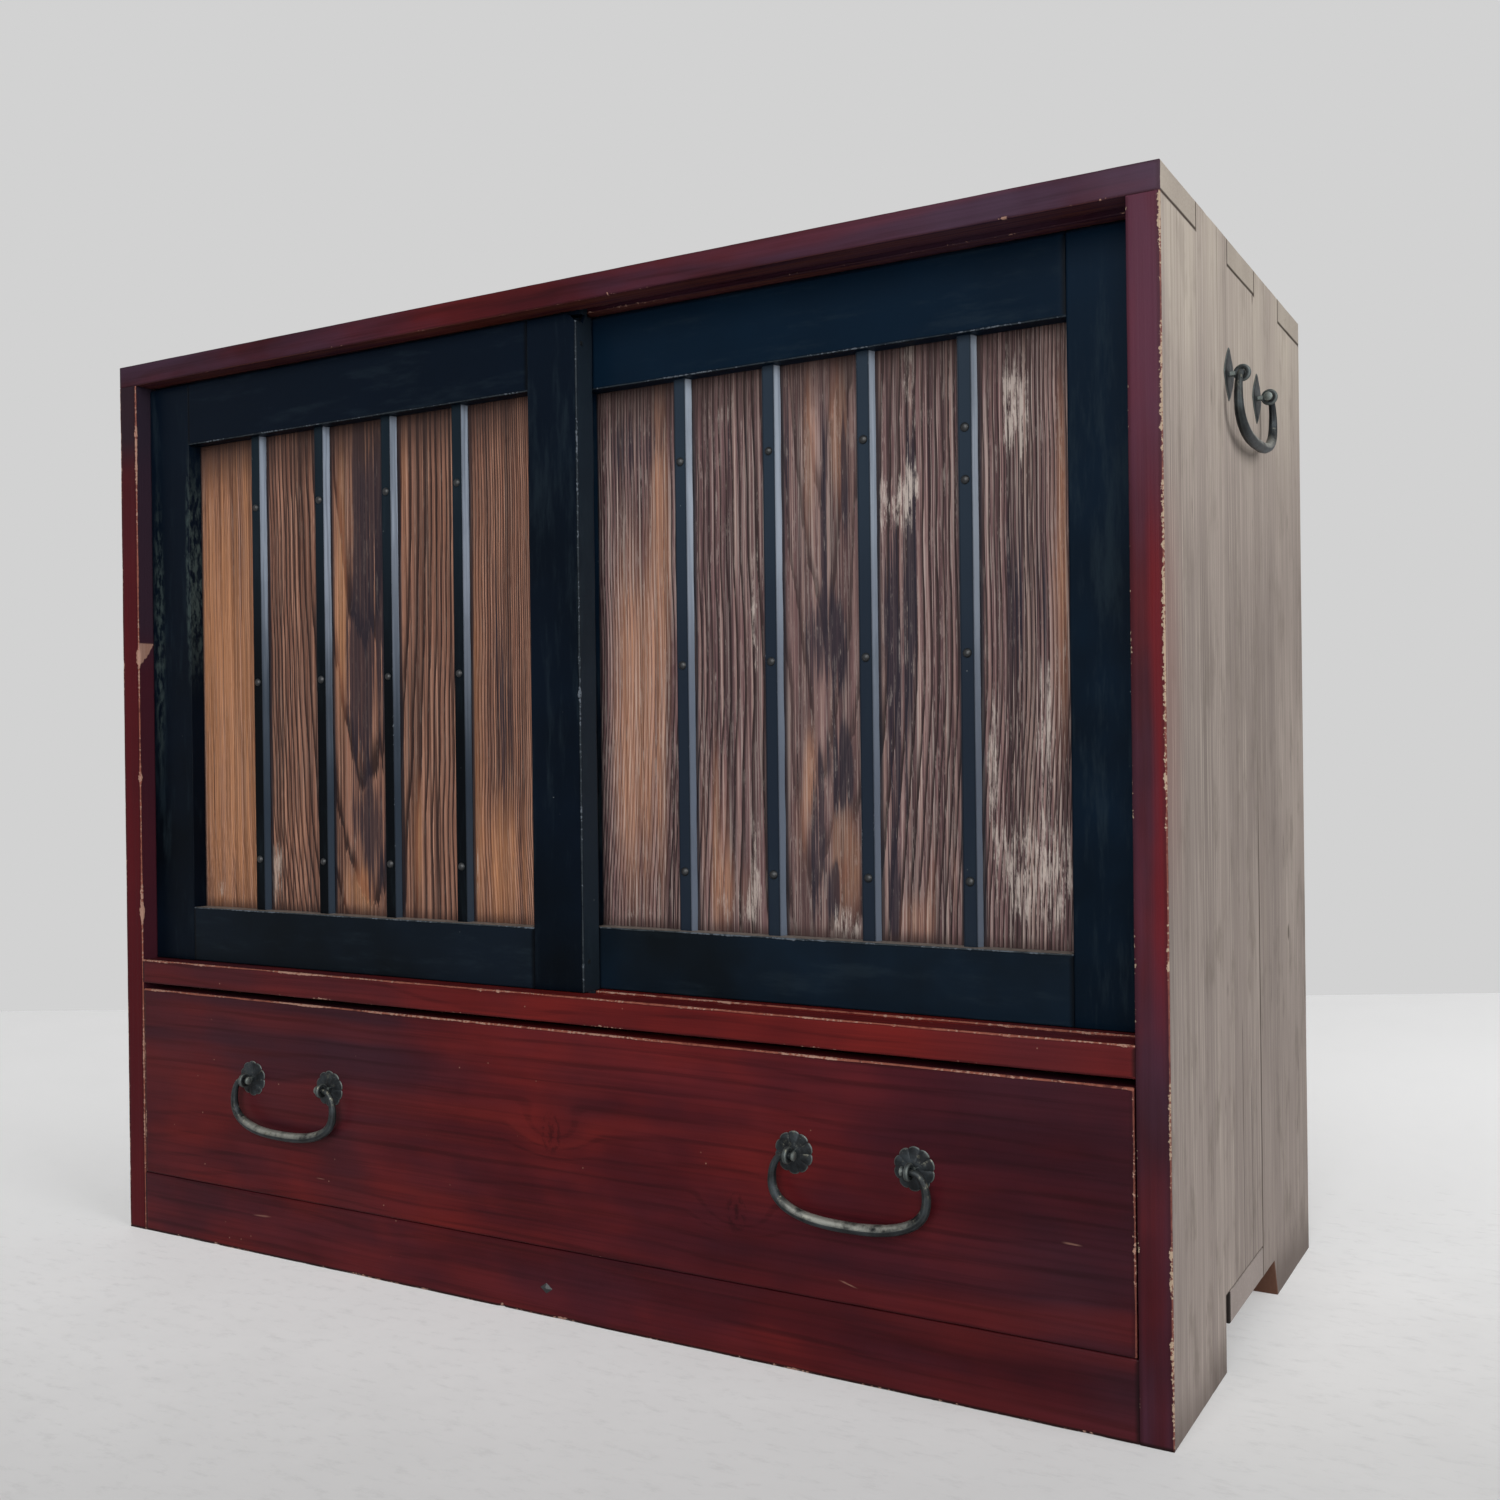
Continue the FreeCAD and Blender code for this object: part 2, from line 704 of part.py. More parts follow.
def all_nodes():
    nodes = {
        "top_board": top_board(),
        "right_side_front_board": side_board(0, side_board_joint),
        "right_side_rear_board": side_board(side_board_joint, case_depth),
        "bottom_board": bottom_board(),
        "apron": apron(),
        "apron_nail": apron_nail(),
        "sill_rail": sill_rail(),
        "cupboard_floor": cupboard_floor(),
        "floor_cleats": floor_cleats(),
        "back_pegs": back_pegs(),
        "top_pegs": top_pegs(),
        "drawer_stops": drawer_stops(),
        "drawer_front": drawer_front(),
        "drawer_right_side": drawer_side(),
        "drawer_left_side": mirrored(drawer_side()),
        "drawer_back": drawer_back(),
        "drawer_floor": drawer_floor(),
        "drawer_pegs": drawer_pegs(),
    }
    for part in ("front", "rear"):
        nodes[f"left_side_{part}_board"] = mirrored(nodes[f"right_side_{part}_board"])
    for number in range(back_board_count):
        nodes[f"back_board_{number + 1}"] = back_board(number)
    nodes.update(door("left"))
    nodes.update(door("right"))
    drawer_pin = eye_pin(drawer_front_thickness)
    washers, pins = [], []
    for name, middle in zip(("left", "right"), drawer_handle_centres):
        nodes[f"drawer_{name}_bail"] = on_drawer(bail(), middle)
        washers += [on_drawer(w, middle) for w in pair(scalloped_washer())]
        pins += [on_drawer(p, middle) for p in pair(drawer_pin)]
    nodes["drawer_handle_washers"] = Part.makeCompound(washers)
    nodes["drawer_handle_pins"] = Part.makeCompound(pins)
    side_pin = eye_pin(side_thickness)
    for side in ("left", "right"):
        nodes[f"{side}_side_bail"] = on_side(bail(), side)
        plates = [on_side(p, side) for p in pair(lozenge_plate())]
        nodes[f"{side}_side_handle_plates"] = Part.makeCompound(plates)
        pins = [on_side(p, side) for p in pair(side_pin)]
        nodes[f"{side}_side_handle_pins"] = Part.makeCompound(pins)
    return nodes


os.makedirs("parts", exist_ok=True)
everything = all_nodes()
for name, shape in everything.items():
    shape.exportStep(f"parts/{name}.step")
whole = Part.makeCompound(list(everything.values())).BoundBox
print(len(everything), "nodes")
print("low ", round(whole.XMin, 3), round(whole.YMin, 3), round(whole.ZMin, 3))
print("high", round(whole.XMax, 3), round(whole.YMax, 3), round(whole.ZMax, 3))
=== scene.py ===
# Japanese clothing chest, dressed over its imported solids. Metres, +Z up, the front faces -Y.
# New pieces are numpy surfaces; each function's comment gives its formula in words.
import math
import bpy
import numpy as np
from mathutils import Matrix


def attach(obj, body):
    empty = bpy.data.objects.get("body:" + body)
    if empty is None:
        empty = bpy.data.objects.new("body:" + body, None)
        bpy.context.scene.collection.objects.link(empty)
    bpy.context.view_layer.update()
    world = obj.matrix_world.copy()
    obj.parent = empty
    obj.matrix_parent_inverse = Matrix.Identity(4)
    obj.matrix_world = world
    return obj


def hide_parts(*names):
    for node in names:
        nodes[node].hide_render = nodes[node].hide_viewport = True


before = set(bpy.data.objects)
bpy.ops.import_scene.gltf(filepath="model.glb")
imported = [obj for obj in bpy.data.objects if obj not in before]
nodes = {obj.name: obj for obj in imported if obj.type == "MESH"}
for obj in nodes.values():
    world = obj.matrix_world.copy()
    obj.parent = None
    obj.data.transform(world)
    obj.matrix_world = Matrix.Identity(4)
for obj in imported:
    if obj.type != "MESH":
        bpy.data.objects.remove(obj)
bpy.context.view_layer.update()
mm = 0.001
print("frame loaded:", len(nodes), "nodes")


def linear(code):
    # a #RRGGBB colour as linear red, green, blue and alpha
    channels = [int(code[i:i + 2], 16) / 255 for i in (1, 3, 5)]
    return [c / 12.92 if c <= 0.04045 else ((c + 0.055) / 1.055) ** 2.4 for c in channels] + [1.0]


class Value:
    # one output of a node; arithmetic on it adds Math nodes
    def __init__(self, owner, socket):
        self.owner, self.socket = owner, socket

    def calc(self, operation, other=0.0):
        return self.owner.node("Math", self, other, operation=operation)

    def __add__(self, other):
        return self.calc("ADD", other)

    def __sub__(self, other):
        return self.calc("SUBTRACT", other)

    def __mul__(self, other):
        return self.calc("MULTIPLY", other)

    def __abs__(self):
        return self.calc("ABSOLUTE")

    def most(self, other):
        return self.calc("MAXIMUM", other)

    def band(self, low, high, first=0.0, last=1.0):
        # first below low, last above high, and a smooth step between
        return self.owner.node("MapRange", self, low, high, first, last,
                               interpolation_type="SMOOTHSTEP")


class Paint:
    # a colour that is laid on in coats
    def __init__(self, s, ground):
        self.s, self.colour = s, ground

    def lay(self, tint, share):
        self.colour = self.s.mix(share, self.colour, tint)
        return self


class Nodes:
    # a node tree
    def __init__(self, tree):
        self.tree = tree

    def feed(self, socket, value):
        if isinstance(value, Paint):
            value = value.colour
        if isinstance(value, Value):
            self.tree.links.new(value.socket, socket)
        elif isinstance(value, str):
            socket.default_value = linear(value)
        else:
            socket.default_value = value

    def node(self, kind, *values, output=0, named=None, **settings):
        # adds a node, feeds its sockets in their order and by name, and returns one output
        made = self.tree.nodes.new("ShaderNode" + kind)
        for key, setting in settings.items():
            setattr(made, key, setting)
        for socket, value in zip(made.inputs, values):
            self.feed(socket, value)
        for key, value in (named or {}).items():
            self.feed(made.inputs[key], value)
        return Value(self, made.outputs[output])

    def mix(self, share, first, second):
        return self.node("Mix", share, named={6: first, 7: second}, output=2, data_type="RGBA")


class Finish(Nodes):
    # one material; it reads the object's own coordinates and the way its faces point
    def __init__(self, name):
        self.material = bpy.data.materials.new(name)
        self.material.use_nodes = True
        super().__init__(self.material.node_tree)
        self.shader = self.tree.nodes["Principled BSDF"]
        self.point = self.node("TexCoord", output="Object")
        self.x, self.y, self.z = self.split(self.point)
        facing = self.node("NewGeometry", output="True Normal")
        self.faceX, self.faceY, self.faceZ = self.split(facing)

    def split(self, vector):
        made = self.tree.nodes.new("ShaderNodeSeparateXYZ")
        self.feed(made.inputs[0], vector)
        return [Value(self, socket) for socket in made.outputs]

    def place(self, x, y, z):
        return self.node("CombineXYZ", x, y, z)

    def drawnOut(self, drawn, shift):
        # the point times one factor for each axis, plus a shift
        return self.node("Mapping", self.point, named={"Scale": drawn, "Location": shift})

    def noise(self, scale, detail=4.0, roughness=0.6, drawn=(1, 1, 1), shift=(0, 0, 0), bend=0.0,
              at=None):
        return self.node("TexNoise", at or self.drawnOut(drawn, shift), named={
            "Scale": scale, "Detail": detail, "Roughness": roughness, "Distortion": bend})

    def cells(self, scale, drawn=(1, 1, 1), shift=(0, 0, 0)):
        # distance to the nearest of scattered points
        return self.node("TexVoronoi", self.drawnOut(drawn, shift), output="Distance",
                         named={"Scale": scale})

    def ramp(self, value, *stops):
        made = self.tree.nodes.new("ShaderNodeValToRGB")
        self.feed(made.inputs[0], value)
        elements = made.color_ramp.elements
        while len(elements) < len(stops):
            elements.new(0.5)
        for element, (place, code) in zip(elements, stops):
            element.position = place
            element.color = linear(code)
        return Value(self, made.outputs[0])

    def reading(self, name):
        # a number that the mesh carries at each point
        return self.node("Attribute", output="Fac", attribute_name=name)

    def gapTo(self, x, z, squeeze=1.0):
        # distance in the plane of the front from one place on it
        away = self.place(self.x - x, 0.0, (self.z - z) * squeeze)
        return self.node("VectorMath", away, operation="LENGTH", output="Value")

    def bump(self, height, distance, strength):
        return self.node("Bump", named={"Strength": strength, "Distance": distance,
                                        "Height": height})

    def surface(self, colour, roughness, relief, metallic=0.0, specular=0.5):
        for key, value in {"Base Color": colour, "Roughness": roughness, "Normal": relief,
                           "Metallic": metallic, "Specular IOR Level": specular}.items():
            self.feed(self.shader.inputs[key], value)
        return self.material


grainScale = {"x": (2.2, 150.0, 150.0), "z": (150.0, 150.0, 2.2), "y": (150.0, 2.2, 150.0)}


def alongGrain(grain, across, along):
    # one factor for each axis: across the grain and along it
    return [across if v > 10 else along for v in grainScale[grain]]


def fibres(s, grain, shift):
    # long fibres: noise stretched along the grain, at two sizes
    coarse = s.noise(0.35, 3.0, 0.5, grainScale[grain], shift, 0.4)
    fine = s.noise(2.1, 4.0, 0.6, grainScale[grain], shift)
    return coarse, fine


def unit(rows):
    return rows / np.linalg.norm(rows, axis=-1, keepdims=True)


def ripple(points, size, seed, octaves=3):
    # Smooth noise of about -1 to 1: the mean of six sines that run in random directions, plus the
    # same at half the length and height for each further octave.
    rng = np.random.default_rng(seed)
    points = np.asarray(points, float)
    total, weight = 0.0, 0.0
    for octave in range(octaves):
        ways = unit(rng.normal(size=(6, points.shape[-1]))) * rng.uniform(0.6, 1.5, (6, 1))
        phases = rng.uniform(0, 2 * np.pi, 6)
        waves = np.sin(points @ ways.T * (2 * np.pi * 2 ** octave / size) + phases)
        total = total + waves.mean(axis=-1) * 0.5 ** octave
        weight += 0.5 ** octave
    return total / weight * 2.2


def bites(places, seed, every, depth):
    # Chips along an arris: a sum of bells, depth * exp(-(|place - centre| / width) cubed). A third
    # of them are short and deep, the others long and low; finer waves make their edges ragged.
    rng, width = np.random.default_rng(seed), wearing["chipWidth"] * mm
    count = max(int(3.0 / every), 1)
    centres = rng.uniform(-1.0, 2.0, count)
    short = rng.uniform(size=count) < 0.35
    widths = width * np.where(short, rng.uniform(0.3, 1.1, count), rng.uniform(1.5, 6.0, count))
    depths = depth * np.where(short, rng.uniform(0.2, 1.0, count) ** 2,
                              rng.uniform(0.08, 0.32, count))
    total = np.zeros(np.shape(places))
    for centre, size, deep in zip(centres, widths, depths):
        total = total + deep * np.exp(-np.abs((places - centre) / size) ** 3)
    return total * (1 + 0.45 * ripple(places[..., None], 0.006, seed + 1, 2))


def gridFaces(rows, columns, closeRows=False, closeColumns=True):
    # Quads between neighbours of a grid of points that is numbered row by row. A tube, which
    # closes its columns alone, also gets a face at either end.
    r = np.arange(rows if closeRows else rows - 1)[:, None]
    c = np.arange(columns if closeColumns else columns - 1)[None, :]
    nextRow, nextColumn = (r + 1) % rows, (c + 1) % columns
    quads = np.stack([r * columns + c, r * columns + nextColumn,
                      nextRow * columns + nextColumn, nextRow * columns + c], axis=-1)
    faces = quads.reshape(-1, 4).tolist()
    if closeColumns and not closeRows:
        faces.append(list(range(columns))[::-1])
        faces.append(list(range((rows - 1) * columns, rows * columns)))
    return faces


def outwards(points, faces):
    # Turns every face of a closed shell round if its volume comes out negative: the volume is the
    # sum of first . (second x third) / 6 over a fan of triangles.
    corners = np.array([(f[0], f[n], f[n + 1]) for f in faces for n in range(1, len(f) - 1)])
    a, b, c = (points[corners[:, n]] - points.mean(0) for n in range(3))
    if (a * np.cross(b, c)).sum() < 0:
        faces = [f[::-1] for f in faces]
    return faces


pieces = []


def makePiece(name, shells, body, slot, material, replaced, smoothAngle=38, **readings):
    # Joins closed shells (points, faces) into one object that rides on its body.
    points, faces, start = [], [], 0
    for shellPoints, shellFaces in shells:
        shellPoints = np.asarray(shellPoints, float).reshape(-1, 3)
        for face in outwards(shellPoints, shellFaces):
            faces.append([n + start for n in face])
        points.append(shellPoints)
        start += len(shellPoints)
    points = np.concatenate(points)
    mesh = bpy.data.meshes.new(name)
    mesh.from_pydata(points.tolist(), [], faces)
    for key, values in readings.items():
        layer = mesh.attributes.new(key, "FLOAT", "POINT")
        layer.data.foreach_set("value", np.asarray(values, np.float32).ravel())
    mesh.polygons.foreach_set("use_smooth", np.ones(len(faces), bool))
    mesh.set_sharp_from_angle(angle=math.radians(smoothAngle))
    mesh.materials.append(material)
    mesh.validate()
    mesh.update()
    piece = bpy.data.objects.new(name, mesh)
    bpy.context.scene.collection.objects.link(piece)
    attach(piece, body)
    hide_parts(*replaced)
    pieces.append(piece)


# How arrises wear, in mm: half width of a chip, reach of the rim and chip readings, radius of a
# hollow corner and deepest wear at an end; and in m the lengths of the swells along an arris,
# round an end and over a face.
wearing = {"chipWidth": 3.5, "rimReach": 1.5, "chipReach": 2.0, "hollow": 0.15, "deepest": 4.5,
           "arrisSwell": 0.09, "endSwell": 0.07, "faceSwell": 0.12}


def member(outline, axis, low, high, seed=1, arris=0.8, chip=2.0, every=0.06, step=3.0,
           ends=(0.6, 0.6), endChip=0.0, cross=9.0, wave=0.06, worn=0.75, endWorn=(0.4, 0.4),
           dents=()):
    # A closed outline of straight runs and rounded corners, carried along a straight axis.
    # outline: corners in mm, counter-clockwise seen from the axis' far end; axis 0 takes (y, z),
    # 1 takes (z, x), 2 takes (x, y). A corner's points are the corner, less its radius times
    # tan(turn / 2) along the run before it, less the radius along that run's normal, plus the
    # radius times (cos, sin) of the turning angle. The radius follows the chips along the axis.
    # Towards each end the points move in along the outline's normals, e (1 - sin a), while they
    # run out along the axis, e (1 - cos a). worn has one weight for each corner and endWorn one
    # for each run at either end: about 1 is rubbed bare, below 0 is a closed joint. dents are
    # (end, distance round the outline, half width, depth). Returns points, faces and two
    # readings: rim, the weight on an arris, 0 at 1.5 mm from it, and chip, how much deeper than
    # usual the arris is worn.
    corners = np.array(outline, float)
    count = len(corners)
    before = unit(corners - np.roll(corners, 1, 0))
    following = unit(np.roll(corners, -1, 0) - corners)
    lengths = np.linalg.norm(np.roll(corners, -1, 0) - corners, axis=1)
    outBefore = np.stack([before[:, 1], -before[:, 0]], 1)
    outAfter = np.stack([following[:, 1], -following[:, 0]], 1)
    turns = np.arctan2(before[:, 0] * following[:, 1] - before[:, 1] * following[:, 0],
                       (before * following).sum(1))
    signs = np.sign(turns)
    convex = signs > 0
    miters = (outBefore + outAfter) / (1 + (outBefore * outAfter).sum(1))[:, None]
    worn = np.where(convex, np.broadcast_to(np.asarray(worn, float), (count,)), 0.0)
    endWorn = [np.broadcast_to(np.asarray(weights, float), (count,)) for weights in endWorn]

    # stations: face rings, the rounded end, the length, and the same again backwards
    rounds = np.radians([0, 22.5, 45, 67.5, 90])
    middle = np.arange(low + 4.0, high - 4.0, step)
    if len(middle) < 2:
        middle = np.array([low + (high - low) / 3, high - (high - low) / 3])
    endRows = [(low, 1, 1.5, 1, 0), (low, 1, 0.7, 1, 0)]
    endRows += [(low, 1, 0, 1 - math.sin(a), 1 - math.cos(a)) for a in rounds]
    rows = endRows + [(s, 0, 0, 0, 0) for s in middle]
    rows += [(high, -1, extra, share, slide) for _, _, extra, share, slide in endRows[::-1]]
    base, way, extra, share, slide = np.array(rows, float).T
    firstEnd = np.arange(len(rows)) < len(rows) / 2
    ending = np.where(firstEnd, ends[0], ends[1])
    runWorn = np.where(firstEnd[:, None], endWorn[0], endWorn[1])

    # radius of each corner at each station
    wear = np.zeros((len(rows), count))
    for number in range(count):
        key = seed * 1000 + int(abs(corners[number] @ (3.1, 7.7))) % 997
        places = base * mm
        wear[:, number] = ripple(places[:, None], wearing["arrisSwell"], key) * 0.3 * arris
        if worn[number] > 0 and chip:
            wear[:, number] += bites(places, key, every, chip) * worn[number]
    radii = np.where(convex, np.clip(arris + wear, 0.35 * arris, None), wearing["hollow"])
    room = np.minimum(lengths, np.roll(lengths, 1)) * 0.42
    reach = np.tan(np.abs(turns) / 2)
    radii = np.minimum(radii, room / reach)
    chips = np.where(worn > 0, np.clip(wear / max(arris, 0.3) - 0.25, 0, 2), 0)

    def inset(places, weights):
        # how far the end's arris is worn back, at these distances round the outline
        swell = ripple(places[..., None] * mm, wearing["endSwell"], seed + 3)
        size = ending[:, None] * (1 + 0.25 * swell)
        if endChip:
            bitten = bites(places * mm, seed * 77 + 5, every, endChip)
            size = size + bitten * np.clip(weights, 0, 1.5) * (ending[:, None] > 0)
        for end, place, width, deep in dents:
            here = firstEnd[:, None] == (end == 0)
            size = size + here * deep * np.exp(-np.abs((places - place) / width) ** 3)
        return np.minimum(size, wearing["deepest"])

    alongCorner = np.cumsum(lengths) - lengths
    cornerEnd = inset(np.broadcast_to(alongCorner, (len(rows), count)),
                      np.minimum(runWorn, np.roll(runWorn, 1, 1)))
    cornerInset = extra[:, None] + share[:, None] * cornerEnd
    angles = np.arctan2(outBefore[:, 1], outBefore[:, 0])
    steps = np.linspace(0, 1, 4)
    theta = angles[:, None] + turns[:, None] * steps
    spoke = np.stack([np.cos(theta), np.sin(theta)], -1) - outBefore[:, None, :]
    offset = (radii[:, :, None, None] * signs[None, :, None, None] * spoke[None]
              - radii[:, :, None, None] * reach[None, :, None, None] * before[None, :, None, :])
    shrink = np.where(convex, np.clip(1 - cornerInset / radii, 0.12, 1), 1)
    arcs = ((corners - miters * cornerInset[..., None])[:, :, None, :]
            + offset * shrink[:, :, None, None])

    columns, rim, chipRow, endSize, endRim = [], [], [], [], []
    for number in range(count):
        after = (number + 1) % count
        for n in range(len(steps)):
            columns.append(arcs[:, number, n])
            rim.append(np.full(len(rows), worn[number]))
            chipRow.append(chips[:, number])
            endSize.append(cornerEnd[:, number])
            endRim.append(runWorn[:, number - 1 if n < 2 else number])
        length = lengths[number]
        if length < 6:
            shares = np.array([0.5])
        else:
            parts = max(int((length - 4) / cross), 1)
            shares = np.concatenate([[0.7 / length], np.linspace(1.6, length - 1.6, parts + 1)
                                     / length, [1 - 0.7 / length]])
        start, finish = arcs[:, number, -1], arcs[:, after, 0]
        for part in shares:
            where = np.full((len(rows), 1), alongCorner[number] + part * length)
            size = inset(where, runWorn[:, number:number + 1])[:, 0]
            plain = cornerEnd[:, number] * (1 - part) + cornerEnd[:, after] * part
            point = start + (finish - start) * part
            point = point - outAfter[number] * (share * (size - plain))[:, None]
            gaps = (part * length if convex[number] else 9, (1 - part) * length
                    if convex[after] else 9)
            swell = ripple(np.stack([base * mm, where[:, 0] * mm], 1), wearing["faceSwell"],
                           seed + 11)
            depth = wave * (0.5 - 0.5 * swell) * min(min(gaps) / 3, 1) * (extra == 0)
            columns.append(point - outAfter[number] * depth[:, None])
            sides = [worn[number] * max(1 - gaps[0] / wearing["rimReach"], 0),
                     worn[after] * max(1 - gaps[1] / wearing["rimReach"], 0)]
            rim.append(np.full(len(rows), max(sides, key=abs)))
            nearest = chips[:, number] if part < 0.5 else chips[:, after]
            chipRow.append(nearest * max(1 - min(gaps) / wearing["chipReach"], 0))
            endSize.append(size)
            endRim.append(runWorn[:, number])
    flat = np.stack(columns, 1)
    endSize, endRim = np.stack(endSize, 1), np.stack(endRim, 1)
    along = base[:, None] + (way * slide)[:, None] * endSize
    order = {0: (2, 0, 1), 1: (1, 2, 0), 2: (0, 1, 2)}[axis]
    points = np.concatenate([flat, along[..., None]], -1)[..., order] * mm
    fromEnd = np.where(extra > 0, extra, np.minimum(base - low, high - base))[:, None]
    endRim = endRim * np.clip(1 - fromEnd / wearing["rimReach"], 0, 1) * (ending[:, None] > 0)
    rim = np.stack(rim, 1) * (extra == 0)[:, None]
    rim = np.where(np.abs(endRim) > np.abs(rim), endRim, rim)
    chipEnd = np.clip(endSize / np.maximum(ending[:, None], 0.1) - 1.5, 0, 2) * (endRim > 0)
    chipRow = np.maximum(np.stack(chipRow, 1) * (extra == 0)[:, None],
                         chipEnd * np.clip(1 - fromEnd / wearing["chipReach"], 0, 1))
    faces = gridFaces(len(rows), flat.shape[1])
    return points.reshape(-1, 3), faces, rim.ravel(), chipRow.ravel()


def joinMembers(name, parts, body, slot, material, replaced):
    makePiece(name, [(p, f) for p, f, _, _ in parts], body, slot, material, replaced,
              rim=np.concatenate([r for _, _, r, _ in parts]),
              chip=np.concatenate([c for _, _, _, c in parts]))


floorShade = "#120B0A"       # painted contact shadow just above the floor


def soiledAndShaded(paint, grime, rubbed):
    # dirt beside an arris, a thin rubbed line on it where its weight is above 0.95, and a painted
    # contact shadow just above the floor
    s = paint.s
    rim = s.reading("rim")
    grit = s.noise(150.0, 4.0, 0.7).band(0.34, 0.52, 0.25, 0.75)
    paint.lay(grime, rim.band(0.2, 0.8) * 0.4)
    paint.lay(rubbed, rim.band(0.9, 0.99) * grit)
    # painted contact shadow just above the floor
    paint.lay(floorShade, s.z.band(0.003, 0.0012) * 0.8)


def bareShare(s, more=1.0):
    # Where a rubbed arris has lost its finish: the mesh's rim reading, swayed by patches and grit,
    # plus its chips.
    patch, grit = s.noise(16.0, 3.0), s.noise(420.0, 3.0)
    sway = (patch - 0.5) * 2.4 + (grit - 0.5) * 2.6 + 1.0
    rub = (s.reading("rim").most(0.0) + s.reading("chip") * 0.4) * sway * more
    return rub.band(1.12, 1.32)


def seamShare(s):
    # closed joints carry a rim reading below 0
    return (s.reading("rim") * -1.0).band(0.25, 0.8)


redSettings = {"deep": "#2E0D13", "middle": "#431216", "bright": "#641C1A", "shade": "#301C24",
               "veil": "#3B2A3B", "streak": "#1A0709", "glow": "#73241E", "knot": "#1D080B",
               "bare": "#835A4B", "barePale": "#A98A7B", "speck": "#A87F6C", "scar": "#9A7464",
               "grime": "#220B0F", "rubbed": "#8C5546", "seam": "#12080A", "roughness": 0.28}


def redPaint(s, grain, shift, brightness=0.0, purple=0.0, knots=()):
    # Lacquer in clouded reds over visible grain. On level grain the growth rings show as long
    # contour lines that bend round the knots.
    tones, level = redSettings, grain == "x"
    coarse, fine = fibres(s, grain, shift)
    cloud = s.noise(3.6, drawn=(1, 1, 1.6), shift=shift)
    tone = cloud * 0.95 + coarse * 0.2 + (brightness - 0.08)
    paint = Paint(s, s.ramp(tone, (0.34, tones["deep"]), (0.5, tones["middle"]),
                            (0.7, tones["bright"])))
    shade = s.noise(2.3, 3.0, 0.65, shift=(3.1, shift[1], 7.7)).band(0.48, 0.7)
    paint.lay(tones["shade"], shade * 0.7)
    if purple:
        drawn = (0.8, 1, 2.6) if level else (3.0, 1, 0.5)
        veil = s.noise(5.0, drawn=drawn, shift=(5.5, shift[1], 2.2)).band(0.36, 0.62)
        paint.lay(tones["veil"], veil * purple)
    if level:
        bend = s.noise(1.0, 3.0, 0.55, (1.5, 1.0, 5.0), shift)
        field = s.z * 62.0 + bend * 7.0
        for x, z, size in knots:
            field = field + s.gapTo(x, z, 1.7).band(0.0, size * 5.0, 1.5, 0.0)
        rings = (field * 6.283).calc("SINE").band(0.55, 1.0)
        paint.lay(tones["streak"], rings * fine.band(0.25, 0.6) * 0.3)
        glow = s.noise(1.0, 2.0, 0.55, at=s.place(field * 0.45, 0.0, s.x * 1.3))
        paint.lay(tones["glow"], glow.band(0.5, 0.68) * 0.2)
    paint.lay(tones["streak"], fine.band(0.4, 0.68) * (0.24 if level else 0.15))
    for x, z, size in knots:
        knot = s.noise(110.0, 3.0)
        far = s.gapTo(x, z, 0.6) + (knot - 0.5) * (size * 1.5)
        ring = abs(far - size * 0.8).band(size * 0.2, size * 0.05)
        core = far.band(size * 0.4, size * 0.1)
        paint.lay(tones["knot"], ring * knot.band(0.4, 0.6) * 0.45 + core * 0.6)
    return paint, coarse, fine, cloud


def redLacquer(name, grain, shift, brightness=0.0, purple=0.0, knots=(), scars=()):
    s, tones = Finish(name), redSettings
    paint, coarse, fine, cloud = redPaint(s, grain, shift, brightness, purple, knots)
    specks = s.cells(62.0, shift=shift).band(0.045, 0.02)
    paint.lay(tones["speck"], specks * cloud.band(0.52, 0.58) * 0.55)
    for x, z, run, lean in scars:
        # a scratch: a short line that leans a little
        off = abs(s.z + (s.x - x) * -lean - z + (fine - 0.5) * 0.003)
        along = abs(s.x - x).band(run * 0.4, run * 0.1)
        paint.lay(tones["scar"], off.band(0.0007, 0.0002) * along * 0.35)
    bare = bareShare(s)
    soiledAndShaded(paint, tones["grime"], tones["rubbed"])
    paint.lay(s.mix(fine, tones["bare"], tones["barePale"]), bare)
    paint.lay(tones["seam"], seamShare(s) * 0.8)
    rough = fine * 0.16 + bare * 0.35 + tones["roughness"]
    height = fine * 0.4 + coarse * 0.5 + bare * -0.9
    return s.surface(paint, rough, s.bump(height, 0.00022, 0.55), specular=0.07)


blackSettings = {"base": "#03060A", "blue": {"left": "#07111D", "right": "#081A2A"},
                 "dust": "#27333A", "bare": "#5E656D", "veil": "#3C4852", "ledge": "#8A8078",
                 "rubbed": "#3D4448", "mark": "#3E4A49", "speck": "#8C9496", "grime": "#05070A",
                 "seam": "#020305", "roughness": 0.28, "ledgeTop": 0.283,
                 # the bars' slopes and faces, high and low: painted lighter high and darker low as
                 # light falls; the slopes' pale grey is partly rubbed wear and partly painted
                 # sheen
                 "slopeWearAndSheen": {"left": ("#8A94A2", "#2E3742"), "right": ("#99A3B0", "#626B79")},
                 "face": {"left": ("#151F27", "#04070B"), "right": ("#26303B", "#1D2530")}}


